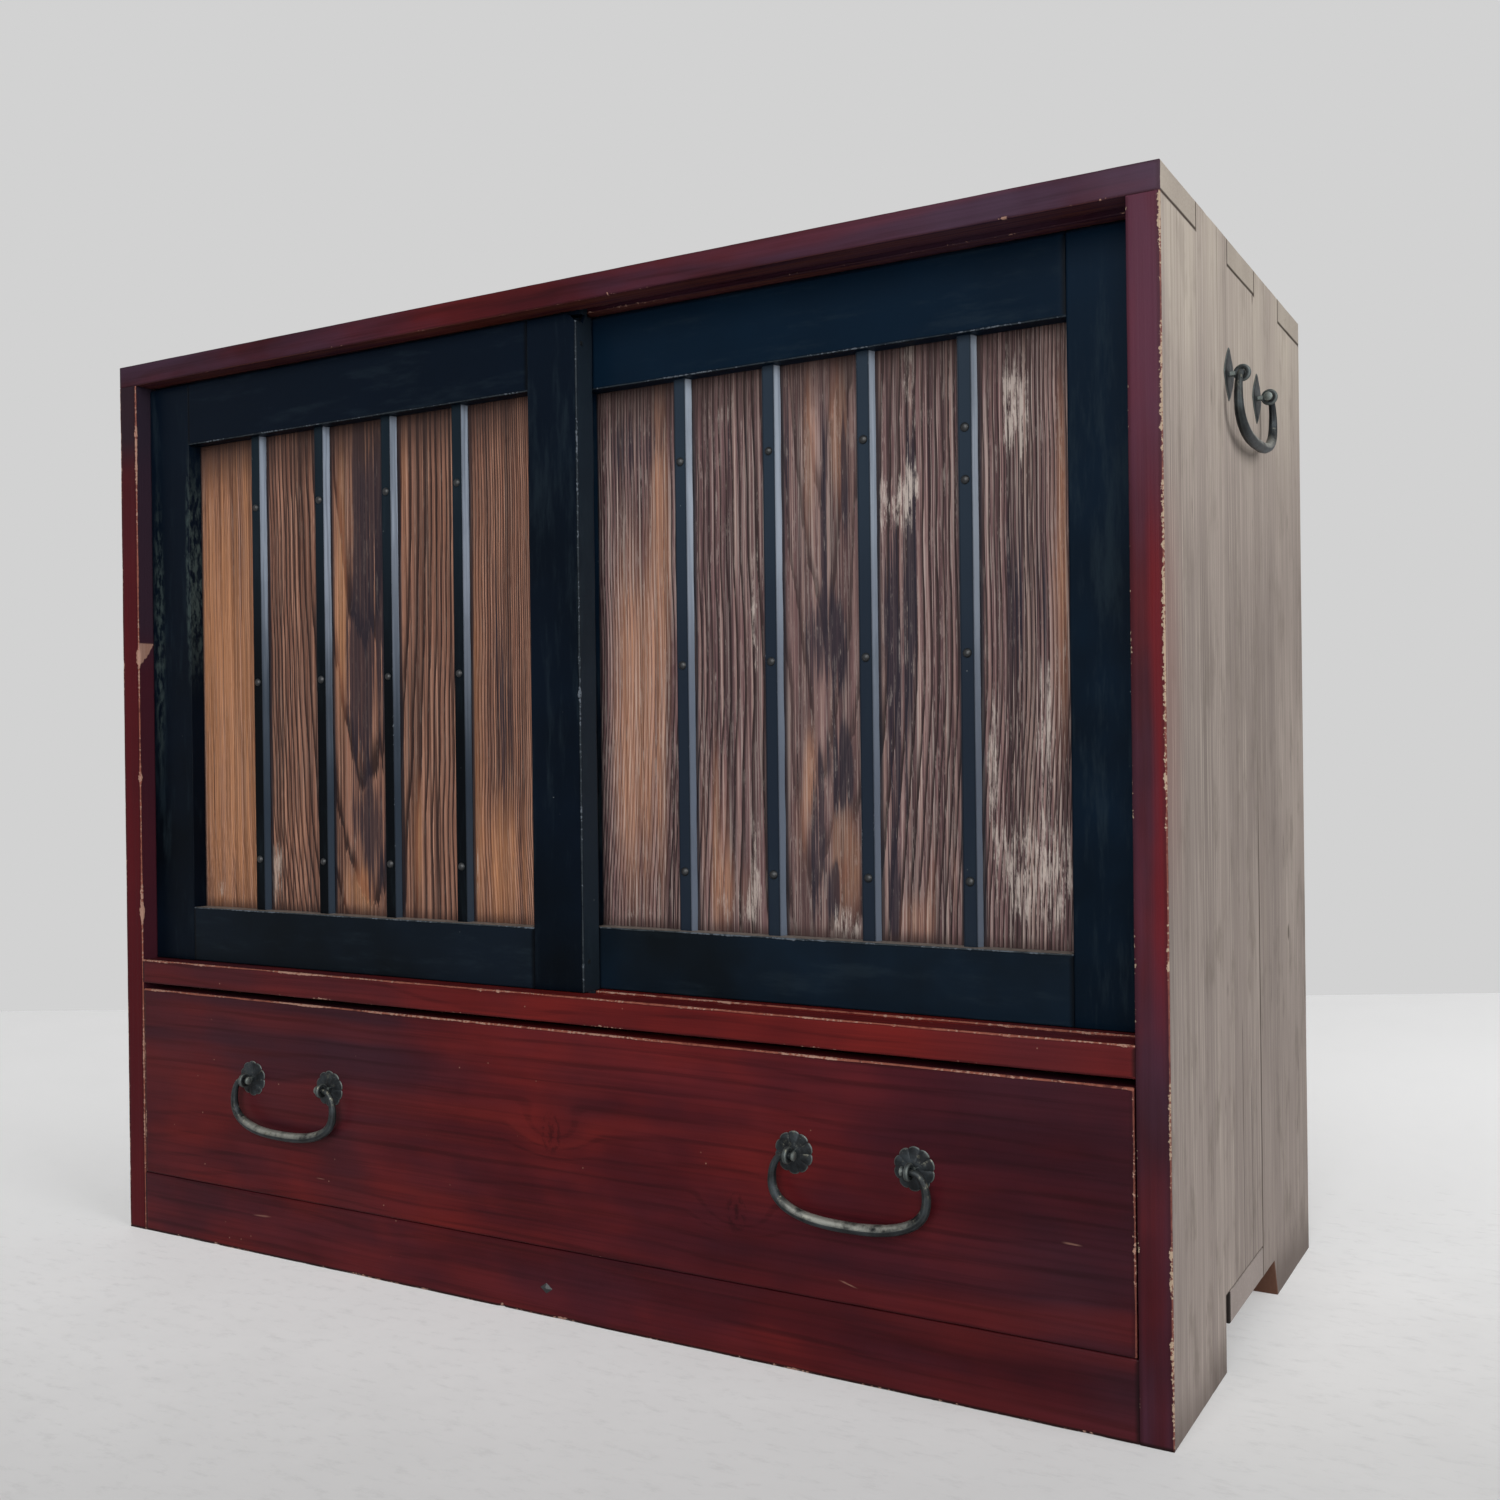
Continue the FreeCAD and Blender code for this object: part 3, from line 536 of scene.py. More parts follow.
def blackLacquer(name, door, grain, shift, dust, blue, bars=False, veil=0.0, edge=0.0, worn=()):
    s, tones = Finish(name), blackSettings
    coarse, fine = fibres(s, grain, shift)
    cloud = s.noise(5.0, shift=shift)
    drawn = (0.3, 1, 1.6) if grain == "x" else (1.8, 1, 0.25)
    film = s.noise(40.0, 5.0, 0.7, drawn, (1.7, 0.3, shift[2])).band(0.5, 0.72) * dust
    if bars:
        # the bars' slopes are a bluish grey, partly rubbed wear and partly painted sheen, that
        # fades to painted shade towards the sill; the faces are painted paler high and darker low
        # the same way
        height = s.z + (cloud - 0.5) * 0.2
        high, low = tones["slopeWearAndSheen"][door]
        long = s.noise(1.0, 3.0, drawn=(300.0, 300.0, 7.0), shift=shift)
        slope = Paint(s, low).lay(high, height.band(0.38, 0.62))
        slope.lay(low, long.band(0.42, 0.62) * 0.45)
        high, low = tones["face"][door]
        paint = Paint(s, low).lay(high, height.band(0.42, 0.66))
        paint.lay(slope, abs(s.faceX).band(0.5, 0.8))
    else:
        # bluer in clouds and towards the top
        tint = tones["blue"][door]
        paint = Paint(s, tones["base"]).lay(tint, cloud.band(0.3, 0.75) * (blue * 1.4))
        paint.lay(tint, s.z.band(0.35, 0.7) * blue)
    paint.lay(tones["dust"], film * 0.5)
    if veil:
        paint.lay(tones["veil"], cloud.band(0.2, 0.6, 0.7, 1.0) * veil)
    # on the faces that point to +X the grey is partly bloom and partly painted light
    if edge:
        paint.lay(tones["veil"], s.faceX.band(0.5, 0.8) * cloud.band(0.2, 0.6, 0.6, 1.0) * edge)
    speckle = s.noise(260.0, 4.0, 0.7, (1.0, 1.0, 0.35))
    for x, z, wide, tall, share in worn:
        near = s.gapTo(x, z, wide / tall).band(wide, wide * 0.3)
        paint.lay(tones["mark"], near * speckle.band(0.42, 0.62) * share)
    # dust on the ledge below the panel
    ledge = s.faceZ.band(0.7, 0.95) * s.z.band(tones["ledgeTop"], tones["ledgeTop"] - 2 * mm)
    paint.lay(tones["ledge"], ledge * speckle.band(0.3, 0.6, 0.4, 0.9))
    specks = s.cells(95.0).band(0.045, 0.02)
    paint.lay(tones["speck"], specks * cloud.band(0.53, 0.6) * 0.6)
    bare = bareShare(s)
    soiledAndShaded(paint, tones["grime"], tones["rubbed"])
    paint.lay(tones["bare"], bare * 0.75)
    paint.lay(tones["seam"], seamShare(s) * 0.8)
    rough = fine * 0.14 + film * 0.35 + bare * 0.3 + tones["roughness"]
    height = fine * 0.35 + coarse * 0.6 + bare * -0.6
    return s.surface(paint, rough, s.bump(height, 0.0002, 0.5), specular=0.04)


sideSettings = {"pale": "#BAB0A3", "middle": "#978C85", "dark": "#786E69", "low": "#8E837E",
                "streak": "#6B625A", "light": "#C8BEB1", "end": "#A1988D", "split": "#453C35",
                "seam": "#3E352E", "stain": "#5A4A42", "crack": "#2E2722", "pink": "#8F655F",
                "damp": "#4A403C", "arch": "#5E3F31", "fresh": "#B9A786", "hollow": "#1D1714",
                # lacquer on the top's front: brown streaks underneath, a bluish bloom that is
                # partly painted sheen towards the right end
                "under": "#6B3F2F", "bloomAndSheen": "#4B3D4E",
                # lacquer on the sides' fronts
                "clear": "#62151A", "rose": "#70394A", "red": "#480A13", "black": "#1F1720",
                "inner": "#2C2530", "rubbed": "#774A40", "worn": "#857160", "wornPale": "#AD9984"}


def agedWood(s, grain, shift, cracks=(), end="end"):
    # bare, greyed softwood: its colour, and the noises that it is made of
    tones = sideSettings
    coarse, fine = fibres(s, grain, shift)
    wide = s.noise(0.09, 3.0, 0.6, grainScale[grain], shift, 0.5)
    cloud = s.noise(6.0, drawn=(1, 1, 0.5), shift=shift)
    streak = s.noise(1.0, 4.0, 0.62, alongGrain(grain, 700.0, 6.0), shift)
    # the wood is painted paler towards the top: painted light from above
    tone = cloud * 0.45 + wide * 0.5 + fine * 0.2 + s.z.band(0.45, 0.74) * 0.2 - 0.17
    paint = Paint(s, s.ramp(tone, (0.3, tones["dark"]), (0.5, tones["middle"]),
                            (0.74, tones["pale"])))
    # and darker low down: painted shade
    paint.lay(tones["low"], s.z.band(0.5, 0.1) * 0.45)
    paint.lay(tones["streak"], streak.band(0.5, 0.68) * 0.4)
    paint.lay(tones["light"], streak.band(0.48, 0.32) * 0.4)
    smudge = s.noise(42.0, 4.0, 0.65, (1, 1, 0.4), shift).band(0.5, 0.7)
    paint.lay(tones["streak"], smudge * s.z.band(0.65, 0.3, 0.25, 0.5))
    stain = s.noise(1.0, 4.0, 0.7, (14, 14, 1.2), shift).band(0.56, 0.78)
    paint.lay(tones["stain"], stain * s.z.band(0.4, 0.1, 0.3, 1.0) * 0.45)
    splits = s.cells(85.0, alongGrain(grain, 1.0, 0.13), shift).band(0.11, 0.03)
    paint.lay(tones["split"], splits * wide.band(0.45, 0.6) * 0.65)
    pits = s.cells(17.0, (1, 1, 0.5), shift).band(0.07, 0.03)
    paint.lay(tones["split"], pits * cloud.band(0.46, 0.58) * 0.75)
    for y, z, run in cracks:
        gap = abs(s.y + (coarse - 0.5) * 0.004 - y)
        ends = abs(s.z - z).band(run * 0.5, run * 0.4)
        paint.lay(tones["crack"], gap.band(0.0009, 0.0004) * ends * 0.8)
    if grain == "x":
        # end grain is more even than the rest
        paint.lay(tones[end], abs(s.faceX).band(0.6, 0.9) * 0.6)
    relief = s.bump(fine * 0.7 + streak * 0.7 + wide * 0.6, 0.0003, 0.6)
    return paint, coarse, fine, cloud, streak, relief


def bottomWood(name, shift):
    s = Finish(name)
    paint, _, fine, _, _, relief = agedWood(s, "x", shift, end="low")
    # the bottom board's faces that point forwards, seen through the slot in the side, are painted
    # dark: painted shade
    paint.lay(sideSettings["hollow"], s.faceY.band(-0.3, -0.7))
    return s.surface(paint, fine * 0.15 + 0.66, relief, specular=0.3)


def topRed(s, red, cloud, streak):
    under = s.faceZ.band(-0.4, -0.8) * streak.band(0.44, 0.58) * 0.6
    red.lay(sideSettings["under"], under)
    # towards the right end the bluish bloom is partly painted sheen
    red.lay(sideSettings["bloomAndSheen"], s.x.band(0.2, 0.43) * cloud.band(0.3, 0.6) * 0.5)


def sideRed(s, red, side, coarse, cloud):
    # along the outer arris the red is clearer
    tones = sideSettings
    sway = s.x * side + (cloud - 0.5) * 0.016
    clear = sway.band(0.442, 0.448) * s.z.band(0.6, 0.5) * s.z.band(0.2, 0.3)
    red.lay(tones["clear"], clear * coarse.band(0.35, 0.62, 0.3, 0.75))
    if side > 0:
        red.lay(tones["rose"], s.z.band(0.52, 0.62, 0.0, 0.24))
    else:
        # a clear red low down, nearly black at the top, and greyer on the inner face
        red.lay(tones["red"], s.z.band(0.66, 0.52, 0.3, 0.7))
        red.lay(tones["black"], s.z.band(0.655, 0.69, 0.0, 0.85))
        red.lay(tones["inner"], s.faceX.band(0.4, 0.7) * s.z.band(0.48, 0.53, 0.45, 0.85))


def knockedPatch(s, cloud, fine):
    # one patch of the left side's inner face is knocked off down to the wood, along a slope
    slope = s.y + s.z * -0.75 + (cloud - 0.5) * 0.014 + (fine - 0.5) * 0.008
    return s.faceX.band(0.4, 0.7) * s.z.band(0.5095, 0.508) * slope.band(-0.5675, -0.5685)


def boardWood(name, grain, shift, side=0, cracks=(), purple=0.0, brightness=0.0):
    # aged wood, lacquered on the front face and on the inner face near the doors
    s, tones = Finish(name), sideSettings
    paint, coarse, fine, cloud, streak, relief = agedWood(s, grain, shift, cracks)
    if side:
        pink = s.y.band(-0.15, -0.19) * s.z.band(0.28, 0.4) * s.z.band(0.6, 0.5)
        paint.lay(tones["pink"], pink * 0.3)
        paint.lay(tones["damp"], (s.z + (cloud - 0.5) * 0.05).band(0.04, 0.002) * 0.55)
        # the feet's edges: browner wood in the arch, newer wood behind the front foot
        arch = s.faceY.band(-0.3, -0.6) * s.z.band(0.034, 0.03) * s.y.band(0.03, 0.05)
        paint.lay(tones["arch"], arch * 0.9)
        fresh = s.faceY.band(0.5, 0.8) * s.z.band(0.045, 0.04) * s.y.band(-0.05, -0.06)
        paint.lay(tones["fresh"], fresh * 0.6)
    # the joint between a side's two boards shows only low down; the finger joints show
    strength = s.z.band(0.5, 0.28, 0.12, 0.95).most(s.z.band(0.722, 0.728, 0.0, 0.85))
    paint.lay(tones["seam"], seamShare(s) * strength)
    red = redPaint(s, grain, shift, brightness, purple)[0]
    if side:
        sideRed(s, red, side, coarse, cloud)
    else:
        topRed(s, red, cloud, streak)
    if side > 0:
        # the outer arris is rubbed through above the sill and chipped at the foot
        more = s.z.band(0.22, 0.5, -0.1, 0.35).most(s.z.band(0.14, 0.1, -0.1, 0.12))
        bare = bareShare(s, more * s.x.band(0.444, 0.448) + 1.0)
        rubbed, worn = tones["rubbed"], s.mix(fine, tones["worn"], tones["wornPale"])
    else:
        bare = bareShare(s)
        rubbed = redSettings["rubbed"]
        worn = s.mix(fine, redSettings["bare"], redSettings["barePale"])
    soiledAndShaded(red, redSettings["grime"], rubbed)
    red.lay(worn, bare)
    if side < 0:
        red.lay(worn, knockedPatch(s, cloud, fine) * 0.9)
    wander = (s.noise(70.0, 3.0) - 0.5) * 0.0022
    frontFace = s.faceY.band(-0.35, -0.6) * s.y.band(-0.19, -0.196)
    nearFront = (s.y + wander).band(-0.1986, -0.1994)
    if side:
        # the inner face is lacquered as far as the doors
        turned = (s.faceX * side).band(-0.4, -0.7) * s.y.band(-0.145, -0.15)
    else:
        turned = (s.faceZ.band(0.5, 0.2) * s.y.band(-0.125, -0.13)
                  * abs(s.x).band(0.4549, 0.4546))
    covered = frontFace.most(turned.most(nearFront))
    paint.lay(red, covered)
    rough = covered.band(0.0, 1.0, 0.72, 0.34) + fine * 0.14
    return s.surface(paint, rough, relief, specular=0.07)


rawSettings = {"pale": "#B08A62", "middle": "#94704E", "dark": "#6E5038", "streak": "#5A412E",
               "grey": "#8C8478"}


def rawWood(name, grain, shift, grey):
    s, tones = Finish(name), rawSettings
    coarse, fine = fibres(s, grain, shift)
    wide = s.noise(0.11, 3.0, 0.6, grainScale[grain], shift, 0.6)
    cloud = s.noise(5.0, shift=shift)
    tone = wide * 0.5 + fine * 0.35 + cloud * 0.3 - 0.08
    paint = Paint(s, s.ramp(tone, (0.3, tones["dark"]), (0.5, tones["middle"]),
                            (0.72, tones["pale"])))
    paint.lay(tones["streak"], coarse.band(0.5, 0.75) * 0.35)
    paint.lay(tones["grey"], cloud.band(0.35, 0.7) * grey)
    relief = s.bump(fine * 0.8 + wide * 0.7, 0.0003, 0.6)
    return s.surface(paint, fine * 0.15 + 0.62, relief, specular=0.35)


panelSettings = {
    "left": {"gold": "#B6815C", "brown": "#89604F", "late": "#241615", "lateGold": "#7A4A35",
             "char": "#221D26", "scuff": "#B9A79B", "streak": "#2A1B1A", "pale": "#B68B74",
             "hairs": 0.15, "fine": 0.7, "quiet": 0.0, "rubs": 0.2},
    "right": {"gold": "#B08268", "brown": "#6E5353", "late": "#231819", "lateGold": "#70473A",
              "char": "#221E28", "scuff": "#C6B9B0", "streak": "#251B1F", "pale": "#A0857C",
              "hairs": 0.34, "fine": 0.55, "quiet": 0.35, "rubs": 0.45},
    "calm": "#5A4340", "shadow": "#2E211F", "besideShade": "#17181F"}


def panelWood(name, door):
    # Growth rings from the mesh's ring reading: pale early wood that darkens to a thin late line.
    # The mesh also says where the board is golden, charred and scuffed. fine, hair, broad and jag
    # are fibres of four widths, and rubs are short ones.
    s, tones = Finish(name), panelSettings[door]
    fine, hair, broad, jag = (s.noise(1.0, detail, roughness, (across, across, along))
                              for across, along, detail, roughness in
                              ((560.0, 1.8, 3.0, 0.6), (1200.0, 6.0, 3.0, 0.6),
                               (110.0, 1.8, 2.0, 0.5), (230.0, 9.0, 3.0, 0.6)))
    rubs = s.noise(1.0, 4.0, 0.7, (260.0, 260.0, 50.0))
    cloud = s.noise(1.0, drawn=(9.0, 5.0, 4.0))

    def swayed(key, *weights):
        # the mesh's reading times 1 plus the noises, each about 0 and times its weight
        total = 1.0
        for noise, weight in weights[::-1]:
            total = (noise - 0.5) * weight + total
        return s.reading(key) * total

    middle = (doors[door]["openLow"] + doors[door]["openHigh"]) / 2 * mm
    centre = abs(s.x - middle).band(0.05, 0.02)
    ring = s.reading("ring") + (fine - 0.5) * 0.25 + (jag - 0.5) * (centre * 0.65 + 0.04)
    part, number = ring.calc("FRACT"), ring.calc("FLOOR")
    warm = swayed("warm", (broad, 3.4), (fine, 1.5), (cloud, 2.0)).band(0.15, 0.95)
    level = s.noise(1.0, 2.0, at=s.place(number * 0.73, s.z * 1.4, 3.3))
    paint = Paint(s, tones["brown"]).lay(tones["gold"], warm)
    paint.lay(tones["late"], level.band(0.42, 0.62) * 0.35)
    paint.lay(tones["streak"], broad.band(0.5, 0.62) * warm.band(0.0, 1.0, 0.5, 0.25))
    paint.lay(tones["streak"], fine.band(0.5, 0.6) * warm.band(0.0, 1.0, tones["fine"], 0.45))
    paint.lay(tones["pale"], fine.band(0.47, 0.38) * 0.5)
    paint.lay(tones["streak"], hair.band(0.52, 0.6) * 0.45)
    paint.lay(tones["scuff"], hair.band(0.47, 0.4) * tones["hairs"])
    # the right board's flames are fainter than its straight lines
    paint.lay(panelSettings["calm"], centre * (tones["quiet"] * 0.7))
    late = part.band(centre * 0.2 + 0.42, 0.88) * part.band(0.99, 0.95)
    strength = warm.band(0.0, 1.0, 0.95, 0.6) * (centre * -tones["quiet"] + 1.0)
    paint.lay(s.mix(warm, tones["late"], tones["lateGold"]), late * strength)
    char = swayed("char", (jag, 3.4), (broad, 2.4), (fine, 3.0)).band(0.22, 0.55)
    paint.lay(tones["char"], char * 0.82)
    scuff = swayed("scuff", (hair, 7.0), (rubs, 6.0), (jag, 2.5)).band(0.4, 0.9)
    scattered = rubs.band(0.5, 0.66) * hair.band(0.5, 0.62) * tones["rubs"]
    paint.lay(tones["scuff"], scuff.most(scattered) * 0.66)
    # painted shade along the panel where the bars and stiles meet it
    paint.lay(panelSettings["besideShade"], s.reading("besideShade") * 0.85)
    top, bottom = doorShape["openTop"] * mm, doorShape["openBottom"] * mm
    shadow = s.z.band(top - 0.05, top) * 1.35 + s.z.band(bottom + 0.01, bottom)
    paint.lay(panelSettings["shadow"], shadow * cloud.band(0.1, 0.55) * 0.62)
    relief = s.bump(late * 0.7 + fine * 0.6 + hair * 0.25, 0.00035, 0.7)
    return s.surface(paint, fine * 0.2 + 0.52, relief, specular=0.14)


ironSettings = {"dark": "#121518", "grey": "#30363A", "rust": "#30241E", "rubbed": "#7C8480",
                "worn": "#9C9A86", "grip": "#A5A59C", "black": "#080B0E"}


def forgedIron(name, scale=1.0, rubbed=0.5, metallic=0.7, black=0.0, polish=0.0):
    s, tones = Finish(name), ironSettings
    cloud = s.noise(90.0 * scale)
    pit = s.noise(700.0 * scale, 4.0, 0.65)
    upwards = s.faceZ.band(-0.1, 0.6)
    paint = Paint(s, tones["dark"]).lay(tones["grey"], cloud.band(0.35, 0.7))
    paint.lay(tones["rust"], pit.band(0.55, 0.7) * 0.35)
    edge = s.node("NewGeometry", output="Pointiness")
    paint.lay(tones["rubbed"], edge.band(0.51, 0.58) * rubbed)
    worn = s.noise(260.0 * scale, 5.0, 0.75).band(0.53, 0.68)
    paint.lay(tones["worn"], worn * upwards * min(rubbed, 0.6))
    # the hand has polished the upper side of the grip; its paleness there is partly a painted
    # highlight
    heldAndLit = s.reading("grip") * upwards * cloud.band(0.3, 0.55)
    paint.lay(tones["grip"], heldAndLit * 0.7)
    paint.lay(tones["black"], black)
    rough = pit * 0.25 + cloud * 0.12 + (0.5 - 0.25 * metallic - polish)
    relief = s.bump(cloud * 0.6 + pit * 0.4, 0.0004, 0.7)
    return s.surface(paint, rough, relief, metallic=metallic)


print("finishes ready")


case = {"half": 455.0, "inner": 434.5, "front": -200.0, "back": 215.0, "top": 750.0,
        "underside": 732.0, "rabbetY": 206.5, "rabbetX": 444.5, "rabbetTop": 742.0,
        "bottomTop": 28.5}
track = {"left": -185.5, "right": -162.8, "thickness": 20.5, "groove": 10.0,
         "topDepth": 8.0, "sillDepth": 4.0}
joint = -0.8        # rim weight of an arris that is closed against its neighbour


def grooveSpan(door):
    middle = track[door] + track["thickness"] / 2
    return middle - track["groove"] / 2, middle + track["groove"] / 2


def topShape():
    y0, y1, z0, z1 = case["front"], case["back"], case["underside"], case["top"]
    grooved = [(y0, z0)]
    for door in ("left", "right"):
        a, b = grooveSpan(door)
        grooved += [(a, z0), (a, z0 + track["topDepth"]), (b, z0 + track["topDepth"]), (b, z0)]
    rear = [(case["rabbetY"], z0), (case["rabbetY"], case["rabbetTop"]),
            (y1, case["rabbetTop"]), (y1, z1)]
    weights = [0.72] + [0.8] * 8 + [0.4] * 4 + [0.5]
    parts = [member(grooved + rear + [(y0, z1)], 0, -case["inner"], case["inner"], seed=3,
                    arris=0.8, chip=1.1, ends=(0, 0), cross=14, worn=weights)]
    finger = (y1 - y0) / 5
    for first, last, low, high in (("inner", "half", 1, 1), ("half", "inner", -1, -1)):
        x0, x1 = low * case[first], high * case[last]
        outer = (0, 0.7) if low > 0 else (0.7, 0)
        for number in (0, 2, 4):
            a, b = y0 + number * finger, y0 + (number + 1) * finger
            square = [(a, z0), (b, z0), (b, z1), (a, z1)]
            if number < 4:
                # runs: underneath, rear, top, front; only the front tab shows its front
                face = 0.72 if number == 0 else joint
                weights = [joint, joint, 0.5, face]
                corner = [face, joint, joint, 0.7 if number == 0 else joint]
                parts.append(member(square, 0, x0, x1, seed=3 + number, arris=0.45 if number
                                    else 0.9, chip=0.6, ends=outer, endChip=0.6, cross=8,
                                    worn=corner, endWorn=(weights, weights)))
                continue
            edge = low * case["rabbetX"]
            spans = sorted([low * case["inner"], edge])
            parts.append(member([(a, z0)] + rear + [(a, z1)], 0, *spans, seed=3, arris=0.5,
                                chip=0.6, ends=(0, 0), cross=8, worn=joint))
            spans = sorted([edge, low * case["half"]])
            weights = [joint, 0.5, 0.5, joint]
            parts.append(member(square, 0, *spans, seed=3, arris=0.5, chip=0.6, ends=outer,
                                endChip=0.6, cross=8, worn=[joint, joint, 0.4, joint],
                                endWorn=(weights, weights)))
    return parts


sideWear = {"outer": 0.98, "innerLeft": 1.02, "innerRight": 0.8, "arris": 0.6, "chip": 0.7,
            # dents in the left side's inner arris: height, half width and depth
            "leftDents": [(498, 6, 1.6), (391, 4, 0.9), (398, 9, 0.4), (275, 7, 1.0),
                          (284, 18, 0.4)],
            # and in the right side's outer arris
            "rightDents": [(402, 4, 0.5), (388, 7, 0.7), (366, 4, 0.5), (96, 7, 0.6),
                           (58, 5, 0.9), (44, 7, 0.5)]}


def sideShapes(side):
    # right side in (y, z); the left is its mirror image
    z0, z1, shelf = case["underside"], case["top"], case["bottomTop"]
    frontBoard = [(-200, 0), (-70, 0), (-70, 50), (43, 50), (43, z0), (-34, z0), (-34, z1),
                  (-117, z1), (-117, z0), (-200, z0)]
    rearOuter = [(43, shelf), (81.5, shelf), (93, 0), (215, 0), (215, z0), (132, z0), (132, z1),
                 (49, z1), (49, z0), (43, z0)]
    rabbet = case["rabbetY"]
    rearInner = [(43, shelf), (81.5, shelf), (93, 0), (215, 0), (215, shelf), (rabbet, shelf),
                 (rabbet, z0), (132, z0), (132, z1), (49, z1), (49, z0), (43, z0)]
    spans = {"front": (case["inner"], case["half"]), "outer": (case["rabbetX"], case["half"]),
             "inner": (case["inner"], case["rabbetX"])}

    def span(key):
        a, b = spans[key]
        return (a, b) if side > 0 else (-b, -a)

    def ends(a, b):
        return (a, b) if side > 0 else (b, a)

    seed = 20 if side > 0 else 30
    # the front run starts at the top; heights become distances round the outline
    around = sum(math.dist(frontBoard[n], frontBoard[n + 1]) for n in range(9))
    dents = [(1, around + z0 - height, wide, deep)
             for height, wide, deep in sideWear["rightDents" if side > 0 else "leftDents"]]
    plain = [0.4, 0.5, joint, joint, joint, joint, 0.5, joint, joint]
    inner = sideWear["innerRight"] if side > 0 else sideWear["innerLeft"]
    size = sideWear["arris"]
    front = member(frontBoard, 0, *span("front"), seed=seed, arris=0.35, chip=0.3, step=4,
                   ends=ends(0.55, size), endChip=sideWear["chip"], cross=3, every=0.035,
                   worn=[0.5] * 3 + [joint] * 7, dents=dents,
                   endWorn=ends([0] * 9 + [inner], plain + [sideWear["outer"]]))
    weights = [0.5, 0.5, 0.5, 0.5, joint, joint, 0.5, joint, joint, joint]
    rear = [member(rearOuter, 0, *span("outer"), seed=seed + 1, arris=0.35, chip=0.3,
                   ends=ends(0, 0.8), endChip=1.2, cross=5, worn=0.4,
                   endWorn=ends([0] * 10, weights)),
            member(rearInner, 0, *span("inner"), seed=seed + 1, arris=0.35, chip=0.3,
                   ends=ends(0.5, 0), cross=5, worn=0.4, endWorn=(0.0, 0.0))]
    return [front], rear


joinMembers("topBoard", topShape(), "case", "bleached_wood",
            boardWood("topWood", "x", (0.3, 1.2, 0), purple=0.75, brightness=-0.06),
            ["top_board"])
for word, side in (("left", -1), ("right", 1)):
    cracks = [(-0.014, 0.13, 0.20), (0.012, 0.10, 0.16)] if side > 0 else []
    frontParts, rearParts = sideShapes(side)
    joinMembers(f"{word}SideFrontBoard", frontParts, "case", "bleached_wood",
                boardWood(f"{word}SideFrontWood", "z", (0, 2.0 * side, 0.4), side, cracks,
                          0.65 if side > 0 else 0.0),
                [f"{word}_side_front_board"])
    joinMembers(f"{word}SideRearBoard", rearParts, "case", "bleached_wood",
                boardWood(f"{word}SideRearWood", "z", (0.5, 3.0 * side, 0.9), side),
                [f"{word}_side_rear_board"])
print("case boards made")

apronShape = {"outline": [(-200, 0), (-180, 0), (-180, 50), (-200, 50)],
              "worn": [0.92, 0.3, joint, 0.5], "scars": [(-0.292, 0.032, 0.03, 0.05)]}
joinMembers("apronBoard", [member(apronShape["outline"], 0, -case["inner"], case["inner"], seed=5,
                                  arris=0.9, chip=1.7, every=0.03, step=2.0, ends=(0.4, 0.4),
                                  worn=apronShape["worn"], endWorn=(joint, joint))],
            "case", "red_lacquer", redLacquer("apronLacquer", "x", (0.7, 0, 0.2), 0.0, 0.15,
                                              scars=apronShape["scars"]), ["apron"])


def sillShape():
    top, deep = 234.5, 234.5 - track["sillDepth"]
    a, b = grooveSpan("left")
    c, d = grooveSpan("right")
    outline = [(-200, 214.5), (-134, 214.5), (-134, 221.5), (-143, 221.5), (-143, top),
               (d, top), (d, deep), (c, deep), (c, top), (b, top), (b, deep), (a, deep),
               (a, top), (-200, top)]
    weights = [0.8, 0, 0, 0, 0] + [1.02] * 8 + [1.06]
    return member(outline, 0, -case["inner"], case["inner"], seed=8, arris=0.8, chip=1.0,
                  every=0.05, step=2.0, ends=(0.2, 0.2), cross=6, worn=weights,
                  endWorn=(joint, joint))


joinMembers("sillRail", [sillShape()], "case", "red_lacquer",
            redLacquer("sillLacquer", "x", (1.9, 0, 0.6), 0.12), ["sill_rail"])

drawerShape = {"outline": [(-200, 50.5), (-192, 50.5), (-192, 58.5), (-180, 58.5),
                           (-180, 209.5), (-200, 209.5)], "half": 433.5,
               "worn": [0.7, 0, 0, 0, 0.3, 1.1], "endWorn": [0, 0, 0, 0, 0, 0.95],
               "knots": [(0.0059, 0.1343, 0.010), (0.1611, 0.098, 0.009)],
               "scars": [(0.2448, 0.0638, 0.02, -0.25), (0.395, 0.1121, 0.018, -0.03),
                         (-0.225, 0.0715, 0.014, 0.0)]}
joinMembers("drawerFrontBoard",
            [member(drawerShape["outline"], 0, -drawerShape["half"], drawerShape["half"], seed=12,
                    arris=1.0, chip=0.9, every=0.06, step=2.0, ends=(0.8, 0.8), endChip=0.3,
                    cross=8, worn=drawerShape["worn"],
                    endWorn=(drawerShape["endWorn"], drawerShape["endWorn"]))],
            "drawer", "red_lacquer",
            redLacquer("drawerLacquer", "x", (0.2, 0, 1.3), 0.0, 0.12, drawerShape["knots"],
                       drawerShape["scars"]), ["drawer_front"])
print("front boards made")


doors = {"left": {"x0": -433.7, "openLow": -385.7, "openHigh": -18.8,
                  "bars": (-312.25, -239.25, -166.25, -93.25), "seed": 40},
         "right": {"x0": -26.2, "openLow": 18.8, "openHigh": 385.7,
                   "bars": (95.75, 168.75, 241.75, 314.75), "seed": 60}}
doorShape = {"width": 459.9, "low": 235.0, "high": 729.5, "tongueLow": 230.8, "tongueHigh": 736.0,
             "openBottom": 280.5, "openTop": 677.5, "recess": 13.5, "rabbet": 8.0, "tongue": 4.7,
             "panelThickness": 7.0, "panelEdge": 7.7, "barBase": 14.0, "barFace": 9.5,
             "barHeight": 6.5,
             "chip": (7.0, 9.0, 6.0)}      # broken corner: across, deep, down


